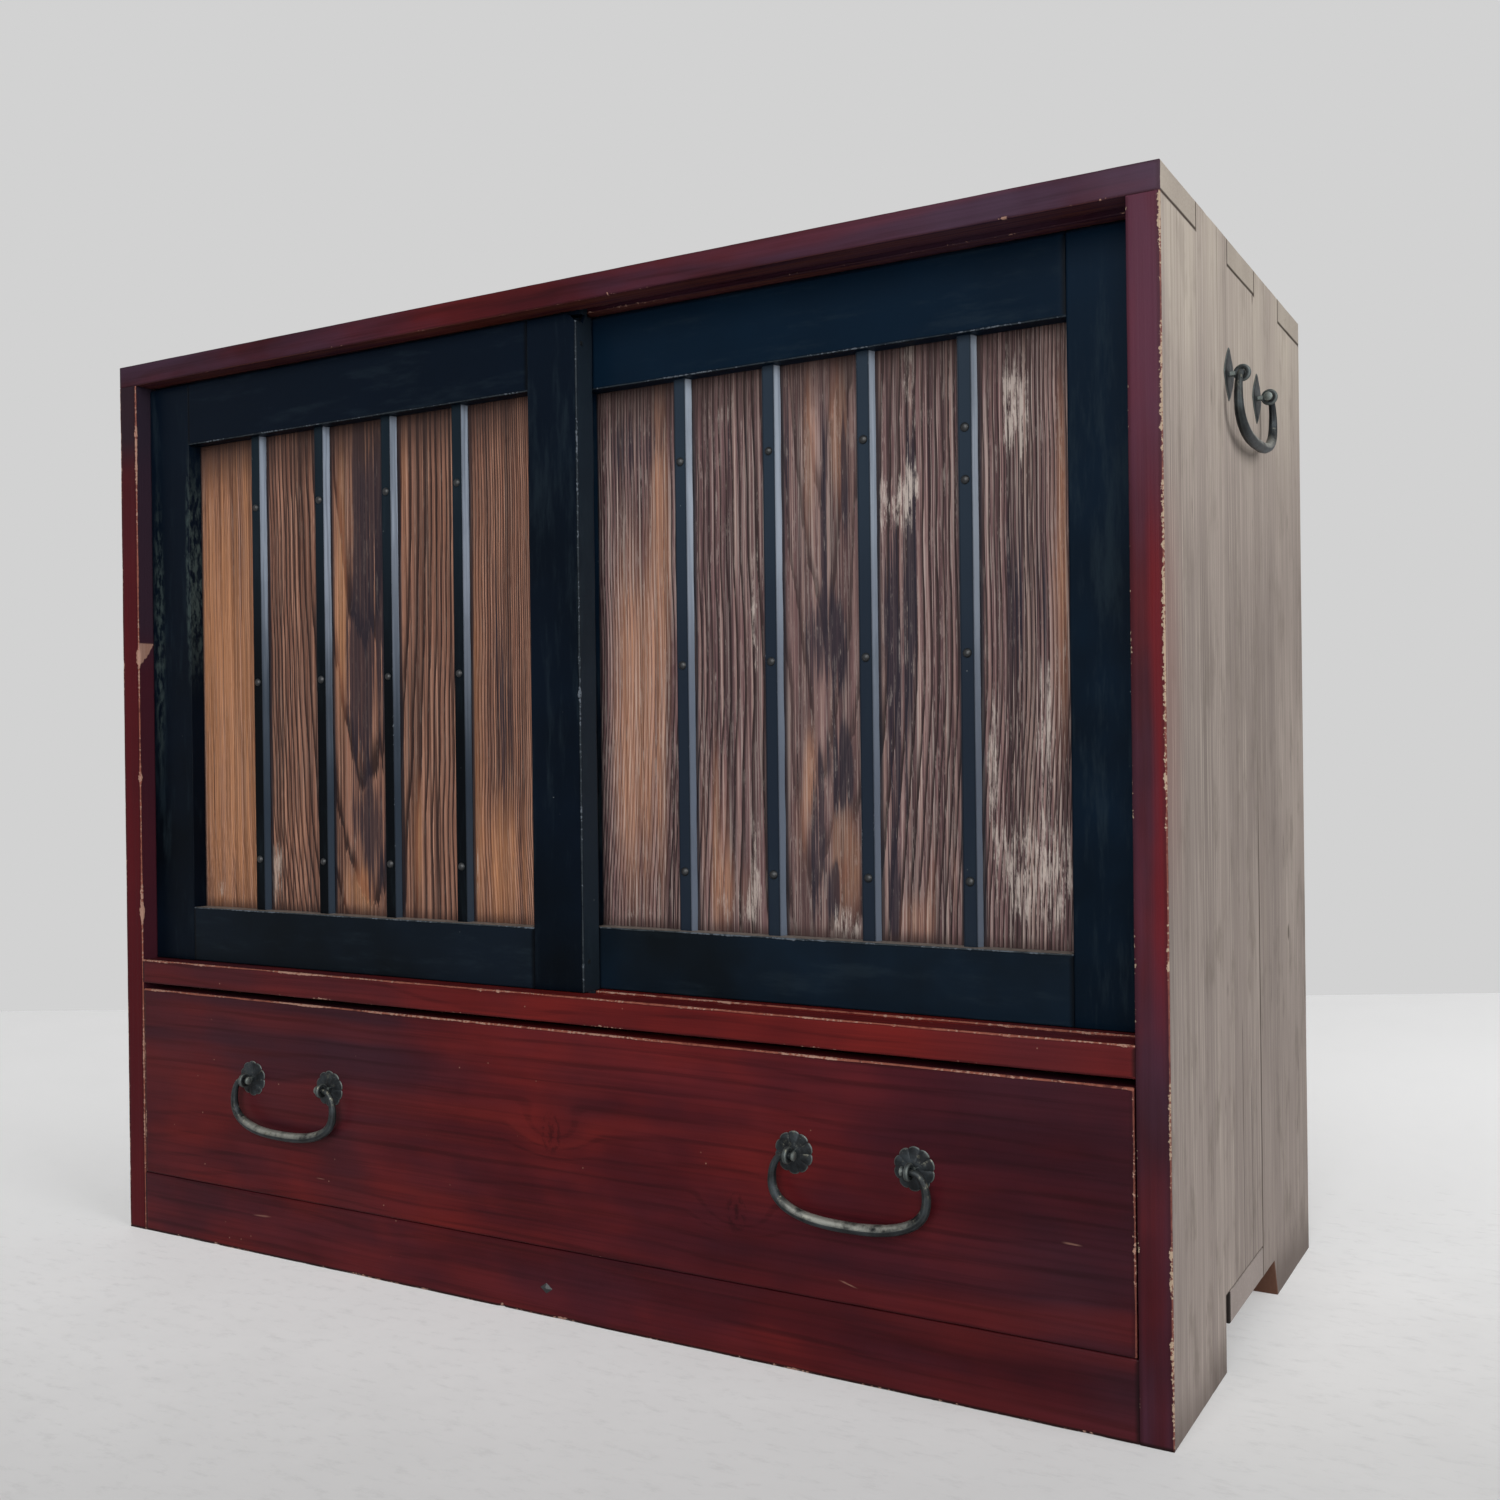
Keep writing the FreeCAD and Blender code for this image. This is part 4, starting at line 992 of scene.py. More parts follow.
def stileShape(door, left):
    d, q = doors[door], doorShape
    face = track[door]
    rear, step = face + track["thickness"], face + q["recess"]
    middle = (face + rear) / 2
    if left:
        x0, x1 = d["x0"], d["openLow"]
        outline = [(x0, face), (x1, face), (x1, step), (x1 - q["rabbet"], step),
                   (x1 - q["rabbet"], rear), (x0, rear)]
    else:
        x0, x1 = d["openHigh"], d["x0"] + q["width"]
        outline = [(x0, face), (x1, face), (x1, rear), (x0 + q["rabbet"], rear),
                   (x0 + q["rabbet"], step), (x0, step)]
    seed = d["seed"] + (1 if left else 2)
    tongue = [(x0, middle - q["tongue"]), (x1, middle - q["tongue"]),
              (x1, middle + q["tongue"]), (x0, middle + q["tongue"])]
    meeting = left == (door == "right")         # this stile passes in front of the other door
    weights = [0.5] * len(outline)
    if meeting:
        weights[0 if left else 1] = 0.95
    chipped = door == "left" and not left
    points, faces, rim, chip = member(outline, 2, q["low"], q["high"], seed=seed, arris=0.8,
                                      chip=1.1, every=0.08, step=2.5, ends=(0.5, 0.5),
                                      cross=3 if chipped else 8, worn=weights)
    if chipped:
        # the corner broken off along a slope: height falls from the top by the chip's share
        wide, deep, tall = q["chip"]
        share = 1 - (x1 - points[:, 0] / mm) / wide
        limit = q["high"] - tall * np.clip(share, 0, 1) - 0.5
        gone = (share > 0) & (points[:, 1] / mm < face + deep) & (points[:, 2] / mm > limit)
        ragged = 0.5 * ripple(points[:, :2], 0.004, 5)
        points[gone, 2] = (limit + ragged)[gone] * mm
        chip = np.where(gone, 1.5, chip)
    return [(points, faces, rim, chip),
            member(tongue, 2, q["tongueLow"], q["low"], seed=seed, arris=0.4, chip=0, ends=(0, 0)),
            member(tongue, 2, q["high"], q["tongueHigh"], seed=seed, arris=0.4, chip=0,
                   ends=(0, 0))]


def railShape(door, top):
    d, q = doors[door], doorShape
    face = track[door]
    rear, step = face + track["thickness"], face + q["recess"]
    middle = (face + rear) / 2
    a, b = middle - q["tongue"], middle + q["tongue"]
    if top:
        z0, z1, z2 = q["openTop"], q["high"], q["tongueHigh"]
        outline = [(face, z0), (step, z0), (step, z0 + q["rabbet"]), (rear, z0 + q["rabbet"]),
                   (rear, z1), (b, z1), (b, z2), (a, z2), (a, z1), (face, z1)]
        weights = [0.96] + [0.55] * 9
    else:
        z0, z1, z2 = q["tongueLow"], q["low"], q["openBottom"]
        outline = [(face, z1), (a, z1), (a, z0), (b, z0), (b, z1), (rear, z1),
                   (rear, z2 - q["rabbet"]), (step, z2 - q["rabbet"]), (step, z2), (face, z2)]
        weights = [0.55] * 9 + [1.04]
    return member(outline, 0, d["openLow"], d["openHigh"], seed=d["seed"] + (3 if top else 4),
                  arris=0.7, chip=0.8, every=0.08, step=3, ends=(0.25, 0.25), cross=8,
                  worn=weights, endWorn=(joint, joint))


def barShape(door, x, number):
    q = doorShape
    base = track[door] + q["recess"]
    crown = base - q["barHeight"]
    outline = [(x - q["barFace"] / 2, crown), (x + q["barFace"] / 2, crown),
               (x + q["barBase"] / 2, base), (x - q["barBase"] / 2, base)]
    return member(outline, 2, q["openBottom"], q["openTop"], seed=doors[door]["seed"] + 5 + number,
                  arris=0.7, chip=0.5, every=0.05, step=3, ends=(0, 0), cross=3, wave=0.12,
                  worn=[0.7, 0.7, 0, 0])


# A panel's face, in mm: how far the early wood lies back, its swell and its least depth.
panelFace = {"early": 0.18, "swell": 0.08, "least": 0.05}
# Marks on the panels: place across and place down (0 at the top, 1 at the bottom), half width and
# half height in the same terms, and strength. Across is in mm from the middle of the opening.
panelMarks = {
    "left": {
        "warm": [(-150, 0.5, 40, 0.7, 1.0), (150, 0.9, 34, 0.16, 0.75), (122, 0.5, 8, 0.6, 0.4),
                 (-21, 0.32, 8, 0.4, 0.62), (-4, 0.95, 18, 0.06, 0.7), (60, 0.86, 9, 0.16, 0.6),
                 (49, 0.15, 6, 0.3, 0.4), (-73, 0.8, 25, 0.14, 0.3), (8, 0.06, 10, 0.07, 0.4)],
        "char": [(10, 0.27, 20, 0.22, 1.0), (-2, 0.52, 14, 0.16, 0.95), (1, 0.05, 8, 0.12, 0.45),
                 (25, 0.42, 7, 0.3, 0.5), (20, 0.2, 8, 0.14, 0.5), (4, 0.8, 22, 0.08, 0.4),
                 (140, 0.4, 8, 0.35, 0.3), (152, 0.62, 9, 0.2, 0.35), (16, 0.9, 14, 0.12, 0.4)],
        "scuff": [(-97, 0.92, 8, 0.08, 0.55), (-165, 0.96, 12, 0.03, 0.4),
                  (-12, 0.86, 7, 0.05, 0.25), (118, 0.9, 3, 0.1, 0.5)]},
    "right": {
        "warm": [(-150, 0.62, 26, 0.34, 1.0), (-127, 0.2, 9, 0.3, 0.6), (-86, 0.8, 13, 0.2, 0.6),
                 (-70, 0.92, 24, 0.08, 0.5), (-4, 0.14, 6, 0.16, 0.85), (17, 0.12, 7, 0.13, 0.85),
                 (-6, 0.72, 7, 0.1, 0.6), (20, 0.87, 12, 0.1, 0.9), (-16, 0.82, 6, 0.1, 0.35),
                 (92, 0.88, 12, 0.14, 0.6), (70, 0.96, 14, 0.06, 0.5), (172, 0.35, 7, 0.4, 0.55),
                 (56, 0.78, 4, 0.05, 0.5)],
        "char": [(8, 0.49, 18, 0.1, 0.5), (13, 0.71, 14, 0.07, 0.75), (-1, 0.86, 6, 0.13, 0.65),
                 (-20, 0.25, 8, 0.3, 0.3), (22, 0.2, 3, 0.12, 0.5), (6, 0.22, 4, 0.2, 0.5),
                 (56, 0.62, 12, 0.22, 0.6), (64, 0.42, 14, 0.2, 0.45), (76, 0.2, 10, 0.16, 0.3),
                 (150, 0.42, 18, 0.2, 0.35), (-150, 0.1, 30, 0.09, 0.4),
                 (-64, 0.12, 20, 0.08, 0.25), (54, 0.92, 6, 0.1, 0.6), (10, 0.92, 5, 0.05, 0.7)],
        "scuff": [(57, 0.26, 13, 0.05, 0.75), (72, 0.25, 7, 0.07, 0.5), (71, 0.04, 6, 0.09, 0.45),
                  (144, 0.12, 10, 0.11, 0.7), (158, 0.88, 26, 0.1, 0.65),
                  (127, 0.74, 7, 0.2, 0.45), (163, 0.64, 9, 0.14, 0.4), (-51, 0.42, 5, 0.2, 0.45),
                  (-52, 0.86, 6, 0.12, 0.4), (-75, 0.06, 24, 0.07, 0.3),
                  (18, 0.975, 13, 0.04, 0.6), (-70, 0.95, 24, 0.05, 0.35),
                  (-150, 0.97, 26, 0.04, 0.35), (-112, 0.4, 3, 0.4, 0.3)]}}
panelRings = {"left": {"shift": 4.0, "lean": 7.0, "near": 0.004, "far": 1.9e-4, "power": 2.38,
                       "rise": (-1.84, 1.0, 2.0), "spread": 400.0},
              "right": {"shift": 4.0, "lean": -9.0, "near": 0.06, "far": 9.0e-4, "power": 2.0,
                        "rise": (-3.0, 3.2, 1.0), "spread": 55.0}}


def panelShape(door):
    # A flat-sawn board. Down its middle the rings are cut to long flames that point down, at its
    # sides to straight lines: the ring number is a quadratic of the place down the board plus
    # near u + far u to a power, where u is the distance from a line that wanders near the middle.
    # The late wood of each ring stands 0.18 mm proud. A mark is its strength times
    # exp(-(across to the fourth) - (down squared)).
    q, d, look = doorShape, doors[door], panelRings[door]
    x0, x1 = d["openLow"] - q["panelEdge"], d["openHigh"] + q["panelEdge"]
    z0, z1 = q["openBottom"] - q["panelEdge"], q["openTop"] + q["panelEdge"]
    face = track[door] + q["recess"]
    xs, zs = np.linspace(x0, x1, 478), np.linspace(z0, z1, 76)
    z, x = np.meshgrid(zs, xs, indexing="ij")
    seed = d["seed"]
    across = x - (d["openLow"] + d["openHigh"]) / 2
    down = (q["openTop"] - z) / (q["openTop"] - q["openBottom"])
    flow = np.stack([across * 0.5, z], -1) * mm
    wander = 3.5 * ripple(z[..., None] * mm, 0.5, seed + 1) + look["lean"] * down ** 3
    near = np.exp(-((across - look["shift"]) / 40) ** 2)
    wander = wander + near * 1.8 * ripple(flow, 0.17, seed + 2)
    u = np.abs(across - look["shift"] - wander)
    u = np.sqrt(u ** 2 + 4.0)
    first, second, third = look["rise"]
    middle = np.exp(-(u / look["spread"]) ** 2)
    ring = first + (second * down + third * down ** 2) * middle
    ring = ring + look["near"] * u + look["far"] * u ** look["power"]
    ring = ring + 0.1 * ripple(flow, 0.16, seed + 4) + 40
    marks = {}
    for kind, places in panelMarks[door].items():
        total = np.zeros(x.shape)
        for px, pz, wide, tall, strength in places:
            total += strength * np.exp(-((across - px) / wide) ** 4 - ((down - pz) / tall) ** 2)
        marks[kind] = total
    # painted shade on the panel beside each bar and beside the stiles, where the parts meet
    beside = [9.4 - np.abs(x - bar - 0.3) for bar in d["bars"]]
    beside += [d["openLow"] + 1.6 - x, x - d["openHigh"] + 1.6]
    marks["besideShade"] = np.clip(np.max(beside, axis=0) / 1.5, 0, 1)
    part = ring - np.floor(ring)
    late = np.clip((part - 0.3) / 0.55, 0, 1) * np.clip((1 - part) / 0.08, 0, 1)
    swell = 1 + ripple(flow * 3, 0.05, seed + 5)
    y = face + panelFace["least"] + panelFace["early"] * (1 - late) + panelFace["swell"] * swell
    front = np.stack([x, y, z], -1) * mm
    rows, columns = front.shape[:2]
    rimIndex = np.concatenate([np.arange(columns),
                               np.arange(1, rows) * columns + columns - 1,
                               (rows - 1) * columns + np.arange(columns - 2, -1, -1),
                               np.arange(rows - 2, 0, -1) * columns])
    flat = front.reshape(-1, 3)
    behind = flat[rimIndex].copy()
    behind[:, 1] = (face + q["panelThickness"]) * mm
    points = np.concatenate([flat, behind])
    faces = gridFaces(rows, columns, closeColumns=False)
    count, start = len(rimIndex), len(flat)
    around = np.roll(rimIndex, -1)
    n = np.arange(count)
    walls = np.stack([around, rimIndex, start + n, start + (n + 1) % count], 1)
    faces += walls.tolist() + [(start + n[::-1]).tolist()]
    readings = {key: np.concatenate([values.ravel(), values.ravel()[rimIndex]])
                for key, values in {"ring": ring, **marks}.items()}
    return (points, faces), readings


# grey bloom on the black, which on the faces that point to +X is partly painted light, and worn
# places of the outer left stile: x, z, half width, half height
edgeBloomAndLight, railVeil = 0.26, 0.07
stileMarks = [(-0.425, 0.52, 0.009, 0.15, 0.55), (-0.387, 0.57, 0.005, 0.12, 0.7)]
for door in ("left", "right"):
    seedShift = doors[door]["seed"] * 0.1
    barBlack = blackLacquer(f"{door}BarLacquer", door, "z", (seedShift, 0, 1.7), 0.4, 0.5, True)
    for word, left in (("Left", True), ("Right", False)):
        black = blackLacquer(f"{door}{word}StileLacquer", door, "z", (seedShift, 0, 0.3),
                             0.5 if door == "left" else 0.7, 0.7,
                             edge=edgeBloomAndLight if door == "left" and not left else 0.0,
                             worn=stileMarks if door == "left" and left else ())
        joinMembers(f"{door}Door{word}Stile", stileShape(door, left), f"{door}_door",
                    "black_lacquer", black, [f"{door}_door_{word.lower()}_stile"])
    for word, top in (("Top", True), ("Bottom", False)):
        black = blackLacquer(f"{door}{word}RailLacquer", door, "x", (seedShift, 0, 0.9), 0.4, 0.7,
                             veil=0.0 if top else railVeil)
        joinMembers(f"{door}Door{word}Rail", [railShape(door, top)], f"{door}_door",
                    "black_lacquer", black, [f"{door}_door_{word.lower()}_rail"])
    for number, x in enumerate(doors[door]["bars"], 1):
        joinMembers(f"{door}DoorBar{number}", [barShape(door, x, number)], f"{door}_door",
                    "black_lacquer", barBlack, [f"{door}_door_bar_{number}"])
    shell, readings = panelShape(door)
    makePiece(f"{door}DoorPanel", [shell], f"{door}_door", "panel_wood",
              panelWood(f"{door}PanelWood", door), [f"{door}_door_panel"], 60, **readings)
print("doors made")


handle = {"pitch": 86.5, "standOff": 9.2, "eyeOuter": 5.8, "eyeInner": 2.6, "eyeWidth": 3.2,
          "halfWidth": 55.2, "shoulderDrop": 16.0, "drop": 41.0, "tip": 2.2, "belly": 4.0,
          "bead": 3.1, "beadLength": 2.8, "straight": 3.2, "squareness": 2.5,
          "washer": 14.2, "notch": 12.9, "lobes": 10, "rim": 0.9, "crown": 2.4,
          "plateWidth": 27.0, "plateHeight": 36.0, "plateThickness": 1.4,
          "drawerMiddles": (-257.0, 249.5), "drawerZ": 144.5, "sideY": 9.5, "sideZ": 658.5,
          "drawerBoard": 20.0, "sideBoard": 20.5, "shank": 4.2,
          "legHalf": 1.65, "leg": 1.5}
eyes = (-handle["pitch"] / 2, handle["pitch"] / 2)


def onDrawer(points, middle):
    return (np.asarray(points) + (middle, case["front"], handle["drawerZ"])) * mm


def onSide(points, side):
    # a quarter turn about Z takes the handle from facing -Y to facing outwards
    p = np.asarray(points)
    turned = np.stack([-side * p[..., 1], side * p[..., 0], p[..., 2]], -1)
    return (turned + (side * case["half"], handle["sideY"], handle["sideZ"])) * mm


def resample(path, count):
    # the same line with its points evenly spaced along it
    along = np.concatenate([[0], np.cumsum(np.linalg.norm(np.diff(path[:, :2], axis=0), axis=1))])
    even = np.linspace(0, along[-1], count)
    return np.stack([np.interp(even, along, column) for column in path.T], 1), even


def bailShape(seed):
    # Middle line in (x, z), right half: along the journal, a quarter of an ellipse out to the
    # widest place, then a squared ellipse down to the grip; the left half mirrors it. The radius
    # grows as the 0.8th power of the drop. Round the line, a point is the radius times 1 plus a
    # little noise, which leaves the flats of the hammer.
    h = handle
    spring = h["pitch"] / 2 + h["straight"]
    inside = spring - 2 * h["straight"]
    quarter = np.linspace(0, np.pi / 2, 40)
    journal = np.linspace(inside - h["beadLength"], spring, 40)
    shoulder = np.stack([spring + (h["halfWidth"] - spring) * np.sin(quarter),
                         -h["shoulderDrop"] * (1 - np.cos(quarter))], 1)
    power = 2 / h["squareness"]
    lower = np.stack([h["halfWidth"] * np.cos(quarter) ** power, -h["shoulderDrop"]
                      - (h["drop"] - h["shoulderDrop"]) * np.sin(quarter) ** power], 1)
    half = np.concatenate([np.stack([journal, journal * 0], 1)[:-1], shoulder, lower[1:]])
    line = np.concatenate([half, (half * (-1, 1))[::-1][1:]])
    line, along = resample(line, 240)
    smooth = np.ones(5) / 5
    for _ in range(3):
        padded = np.pad(line, ((2, 2), (0, 0)), mode="reflect", reflect_type="odd")
        line = np.stack([np.convolve(padded[:, n], smooth, "valid") for n in (0, 1)], 1)
    radius = h["tip"] + (h["belly"] - h["tip"]) * np.clip(-line[:, 1] / h["drop"], 0, 1) ** 0.8
    fromEnd = np.minimum(along, along[-1] - along)
    bead = np.clip(1 - ((fromEnd - h["beadLength"] / 2) / (h["beadLength"] / 2)) ** 4, 0, 1)
    radius = radius + (h["bead"] - h["tip"]) * bead ** 0.5 * (fromEnd < h["beadLength"])
    radius[[0, -1]] = 1.6
    tangent = unit(np.gradient(line, axis=0))
    across = np.stack([tangent[:, 1], -tangent[:, 0]], 1)
    turn = np.linspace(0, 2 * np.pi, 28, endpoint=False)
    swirl = np.stack([np.broadcast_to(along[:, None] / 9, (len(line), 28)),
                      np.broadcast_to(np.cos(turn) * 1.2, (len(line), 28)),
                      np.broadcast_to(np.sin(turn) * 1.2, (len(line), 28))], -1)
    heldAndLit = np.clip((fromEnd - 10) / 8, 0, 1)[:, None]
    size = radius[:, None] * (1 + 0.035 * heldAndLit * (ripple(swirl, 3.0, seed, 2) - 1))
    # octagonal flats: the corner circle drawn in towards its eight sides
    flats = np.cos(np.pi / 8) / np.cos((turn % (np.pi / 4)) - np.pi / 8)
    size = size * (1 - 0.45 * heldAndLit * (1 - flats))
    x = line[:, None, 0] + across[:, None, 0] * size * np.cos(turn)
    z = line[:, None, 1] + across[:, None, 1] * size * np.cos(turn)
    y = -h["standOff"] + size * np.sin(turn)
    points = np.stack([x, y, z], -1)
    grip = np.clip((-line[:, 1] / h["drop"] - 0.7) / 0.25, 0, 1)
    return points.reshape(-1, 3), gridFaces(len(line), 28), np.repeat(grip, 28)


def torusShape(eye):
    # Eye: a rounded-square section, its corners eased to the fourth power, turned round the hinge.
    h = handle
    middle, half = (h["eyeInner"] + h["eyeOuter"]) / 2, (h["eyeOuter"] - h["eyeInner"]) / 2
    turn = np.linspace(0, 2 * np.pi, 36, endpoint=False)[:, None]
    around = np.linspace(0, 2 * np.pi, 16, endpoint=False)[None, :]
    ease = (np.abs(np.cos(around)) ** 3 + np.abs(np.sin(around)) ** 3) ** (-1 / 3)
    radius = middle + half * ease * np.cos(around) * (1 + 0 * turn)
    x = eye + h["eyeWidth"] / 2 * ease * np.sin(around) + 0 * turn
    points = np.stack([x, -h["standOff"] + radius * np.cos(turn), radius * np.sin(turn)], -1)
    return points.reshape(-1, 3), gridFaces(36, 16, closeRows=True)


def pinShapes(board):
    # Both split pins of a handle: eyes, shanks through the board and legs bent flat behind it.
    h, shapes = handle, []
    w, thick = h["legHalf"], h["leg"]
    for eye in eyes:
        shapes.append(torusShape(eye))
        shank = member([(-w, eye - w), (w, eye - w), (w, eye + w), (-w, eye + w)], 1,
                       -h["standOff"] + h["shank"], board + thick, seed=4, arris=0.5, chip=0,
                       ends=(0, 0.3), step=3, cross=20)
        shapes.append((shank[0] / mm, shank[1]))
        legs = member([(eye - w, board), (eye + w, board), (eye + w, board + thick),
                       (eye - w, board + thick)], 2, -13, 13, seed=4, arris=0.4, chip=0,
                      ends=(0.4, 0.4), step=4, cross=20)
        shapes.append((legs[0] / mm, legs[1]))
    return shapes


def polarShape(outer, height, rings):
    # A low dome in polar coordinates: ring r of the grid lies at outer(turn) * r, height(r, turn)
    # in front of the face; the last ring drops back to the face and the hub is one point wide.
    turn = np.linspace(0, 2 * np.pi, 120, endpoint=False)[None, :]
    r = np.asarray(rings)[:, None]
    radius = outer(turn) * r
    y = -height(r, turn)
    points = np.stack([radius * np.cos(turn), y + 0 * radius, radius * np.sin(turn)], -1)
    back = points[-1:].copy()
    back[..., 1] = 0.0
    points = np.concatenate([points, back])
    return points.reshape(-1, 3), gridFaces(len(points), 120)


def washerShape(eye, seed):
    h = handle

    def lobed(turn):
        return np.abs(np.sin(turn * h["lobes"] / 2))

    def outer(turn):
        return (h["notch"] + (h["washer"] - h["notch"]) * lobed(turn) ** 0.6
                + 0.12 * ripple(np.stack([np.cos(turn), np.sin(turn)], -1), 1.2, seed))

    def height(r, turn):
        dome = h["rim"] + (h["crown"] - h["rim"]) * np.clip(1 - (r - 0.42) / 0.5, 0, 1)
        flute = 0.28 * lobed(turn) ** 0.7 * np.clip((r - 0.45) * 3, 0, 1)
        return dome + flute - 0.28 * (r > 0.4) - 0.5 * np.clip((r - 0.93) / 0.07, 0, 1) ** 2

    points, faces = polarShape(outer, height, [0.02, 0.2, 0.36, 0.42, 0.48, 0.55, 0.63, 0.72,
                                               0.8, 0.87, 0.93, 0.97, 1.0])
    return points + (eye, 0, 0), faces


def plateShape(eye, seed):
    h = handle

    def outer(turn):
        # a lozenge with bowed edges: 1 / (|cos| / a + |sin| / b), swelled between the points
        c, s = np.abs(np.cos(turn)), np.abs(np.sin(turn))
        plain = 1 / (c / (h["plateWidth"] / 2) + s / (h["plateHeight"] / 2))
        mid = 4 * c / (c + s) * s / (c + s)
        return plain * (1 + 0.12 * mid)

    def height(r, turn):
        return h["plateThickness"] * (1 - 0.55 * np.clip((r - 0.86) / 0.14, 0, 1) ** 1.5) \
            + 0.0 * turn - 0.08 * (1 + ripple(np.stack([r * np.cos(turn), r * np.sin(turn)], -1),
                                              0.6, seed))

    points, faces = polarShape(outer, height, [0.02, 0.3, 0.5, 0.7, 0.86, 0.91, 0.96, 1.0])
    return points + (eye, 0, 0), faces


def domeShapes(places, radius, height, seed):
    # Round nail heads: ring radius times cos, sin, height times (1 - r squared) to the 0.6; each
    # head has its own slight tilt and flat.
    rng = np.random.default_rng(seed)
    r = np.array([1.0, 0.97, 0.88, 0.7, 0.45, 0.15])
    sides = 14
    turn = np.linspace(0, 2 * np.pi, sides, endpoint=False)
    shapes = []
    for x, y, z in places:
        lean = rng.uniform(-0.12, 0.12, 2)
        size = radius * rng.uniform(0.9, 1.0)
        rx, rz = r[:, None] * np.cos(turn) * size, r[:, None] * np.sin(turn) * size
        rise = height * (1 - r[:, None] ** 2) ** 0.6 * rng.uniform(0.85, 1.0)
        rise = rise * (1 + lean[0] * rx / size + lean[1] * rz / size)
        rise[0] = -0.3
        points = np.stack([x + rx, y - rise, z + rz], -1)
        shapes.append((points.reshape(-1, 3), gridFaces(len(r), sides)))
    return shapes


bailIron = forgedIron("bailIron", 1.0, 0.8)
plateIron = forgedIron("plateIron", 1.0, 0.5)
pinIron = forgedIron("pinIron", 1.4, 0.6)
nailIron = forgedIron("nailIron", 1.6, 0.05, 0.0, 0.75, 0.3)

washers, pins = [], []
for number, (word, middle) in enumerate(zip(("left", "right"), handle["drawerMiddles"])):
    points, faces, grip = bailShape(70 + number)
    makePiece(f"drawer{word.capitalize()}Bail", [(onDrawer(points, middle), faces)],
              f"drawer_{word}_bail", "iron", bailIron, [f"drawer_{word}_bail"], 50, grip=grip)
    for n, eye in enumerate(eyes):
        points, faces = washerShape(eye, 80 + 2 * number + n)
        washers.append((onDrawer(points, middle), faces))
    pins += [(onDrawer(p, middle), f) for p, f in pinShapes(handle["drawerBoard"])]
makePiece("drawerHandleWashers", washers, "drawer", "iron", plateIron, ["drawer_handle_washers"])
makePiece("drawerHandlePins", pins, "drawer", "iron", pinIron, ["drawer_handle_pins"])
for word, side in (("left", -1), ("right", 1)):
    points, faces, grip = bailShape(75 + side)
    makePiece(f"{word}SideBail", [(onSide(points, side), faces)], f"{word}_side_bail", "iron",
              bailIron, [f"{word}_side_bail"], 50, grip=grip)
    plates = [plateShape(eye, 90 + side) for eye in eyes]
    makePiece(f"{word}SideHandlePlates", [(onSide(p, side), f) for p, f in plates], "case",
              "iron", plateIron, [f"{word}_side_handle_plates"])
    makePiece(f"{word}SideHandlePins",
              [(onSide(p, side), f) for p, f in pinShapes(handle["sideBoard"])], "case", "iron",
              pinIron, [f"{word}_side_handle_pins"])
nailShape = {"heights": (618.0, 471.5, 323.0), "spare": 584.0, "radius": 3.3, "rise": 2.2}
for door in ("left", "right"):
    crown = track[door] + doorShape["recess"] - doorShape["barHeight"]
    places = [(x, crown, z) for x in doors[door]["bars"] for z in nailShape["heights"]]
    if door == "right":
        places.append((doors[door]["bars"][-1], crown, nailShape["spare"]))
    heads = domeShapes(places, nailShape["radius"], nailShape["rise"], doors[door]["seed"] + 9)
    makePiece(f"{door}DoorBarNails", [(p * mm, f) for p, f in heads], f"{door}_door", "iron",
              nailIron, [f"{door}_door_bar_nails"], 60)
print("ironwork made")


# CAD nodes that stay: their grain, and how grey their wood is
kept = {"cupboard_floor": ("x", 0.2), "floor_cleats": ("y", 0.2),
        "drawer_left_side": ("y", 0.2), "drawer_right_side": ("y", 0.2),
        "drawer_back": ("x", 0.2), "drawer_floor": ("x", 0.2), "drawer_stops": ("x", 0.2),
        "back_pegs": ("y", 0.2), "top_pegs": ("z", 0.5), "drawer_pegs": ("z", 0.2)}
kept.update({f"back_board_{n}": ("z", 0.45) for n in range(1, 6)})


def dress(node, material):
    item = nodes[node]
    for place in item.material_slots:
        place.material = material
    if not item.material_slots:
        item.data.materials.append(material)


for number, (node, (grain, grey)) in enumerate(sorted(kept.items())):
    dress(node, rawWood(node + "Wood", grain, (number * 0.7, number * 1.3, number * 0.4), grey))
dress("bottom_board", bottomWood("bottomWood", (0.8, 0.4, 0)))
for node in ("apron_nail", "left_door_tenon_nails", "right_door_tenon_nails"):
    dress(node, nailIron)
print("kept nodes dressed")


stage = {"floor": "#E0E0E0", "floorShadedNear": "#C0C0C0", "mottle": "#C9C9C9", "trowel": "#A8A8A8",
         "wall": "#D2D2D2", "ambient": 0.16, "paleNear": 0.08, "paleFar": 0.55,
         "paleAround": 0.2, "yaw": 30.0373, "farEdge": 1.2, "reach": 4.0}
yaw = math.radians(stage["yaw"])
ahead, aside = (-math.sin(yaw), math.cos(yaw)), (math.cos(yaw), math.sin(yaw))
corners = []
for forward, sideways in ((-1, -1), (-1, 1), (1, 1), (1, -1)):
    run = stage["farEdge"] if forward > 0 else -stage["reach"]
    corners.append((ahead[0] * run + aside[0] * sideways * stage["reach"],
                    ahead[1] * run + aside[1] * sideways * stage["reach"], 0.0))
floorMesh = bpy.data.meshes.new("floor")
floorMesh.from_pydata(corners, [], [(0, 1, 2, 3)])
floor = bpy.data.objects.new("floor", floorMesh)
bpy.context.scene.collection.objects.link(floor)


def seenDirectly(s):
    # 1 for rays from the camera, in reflections and through glass; 0 for light on surfaces
    path = s.tree.nodes.new("ShaderNodeLightPath")
    camera, glossy, through = (Value(s, path.outputs[f"Is {kind} Ray"])
                               for kind in ("Camera", "Glossy", "Transmission"))
    return camera.most(glossy).most(through)


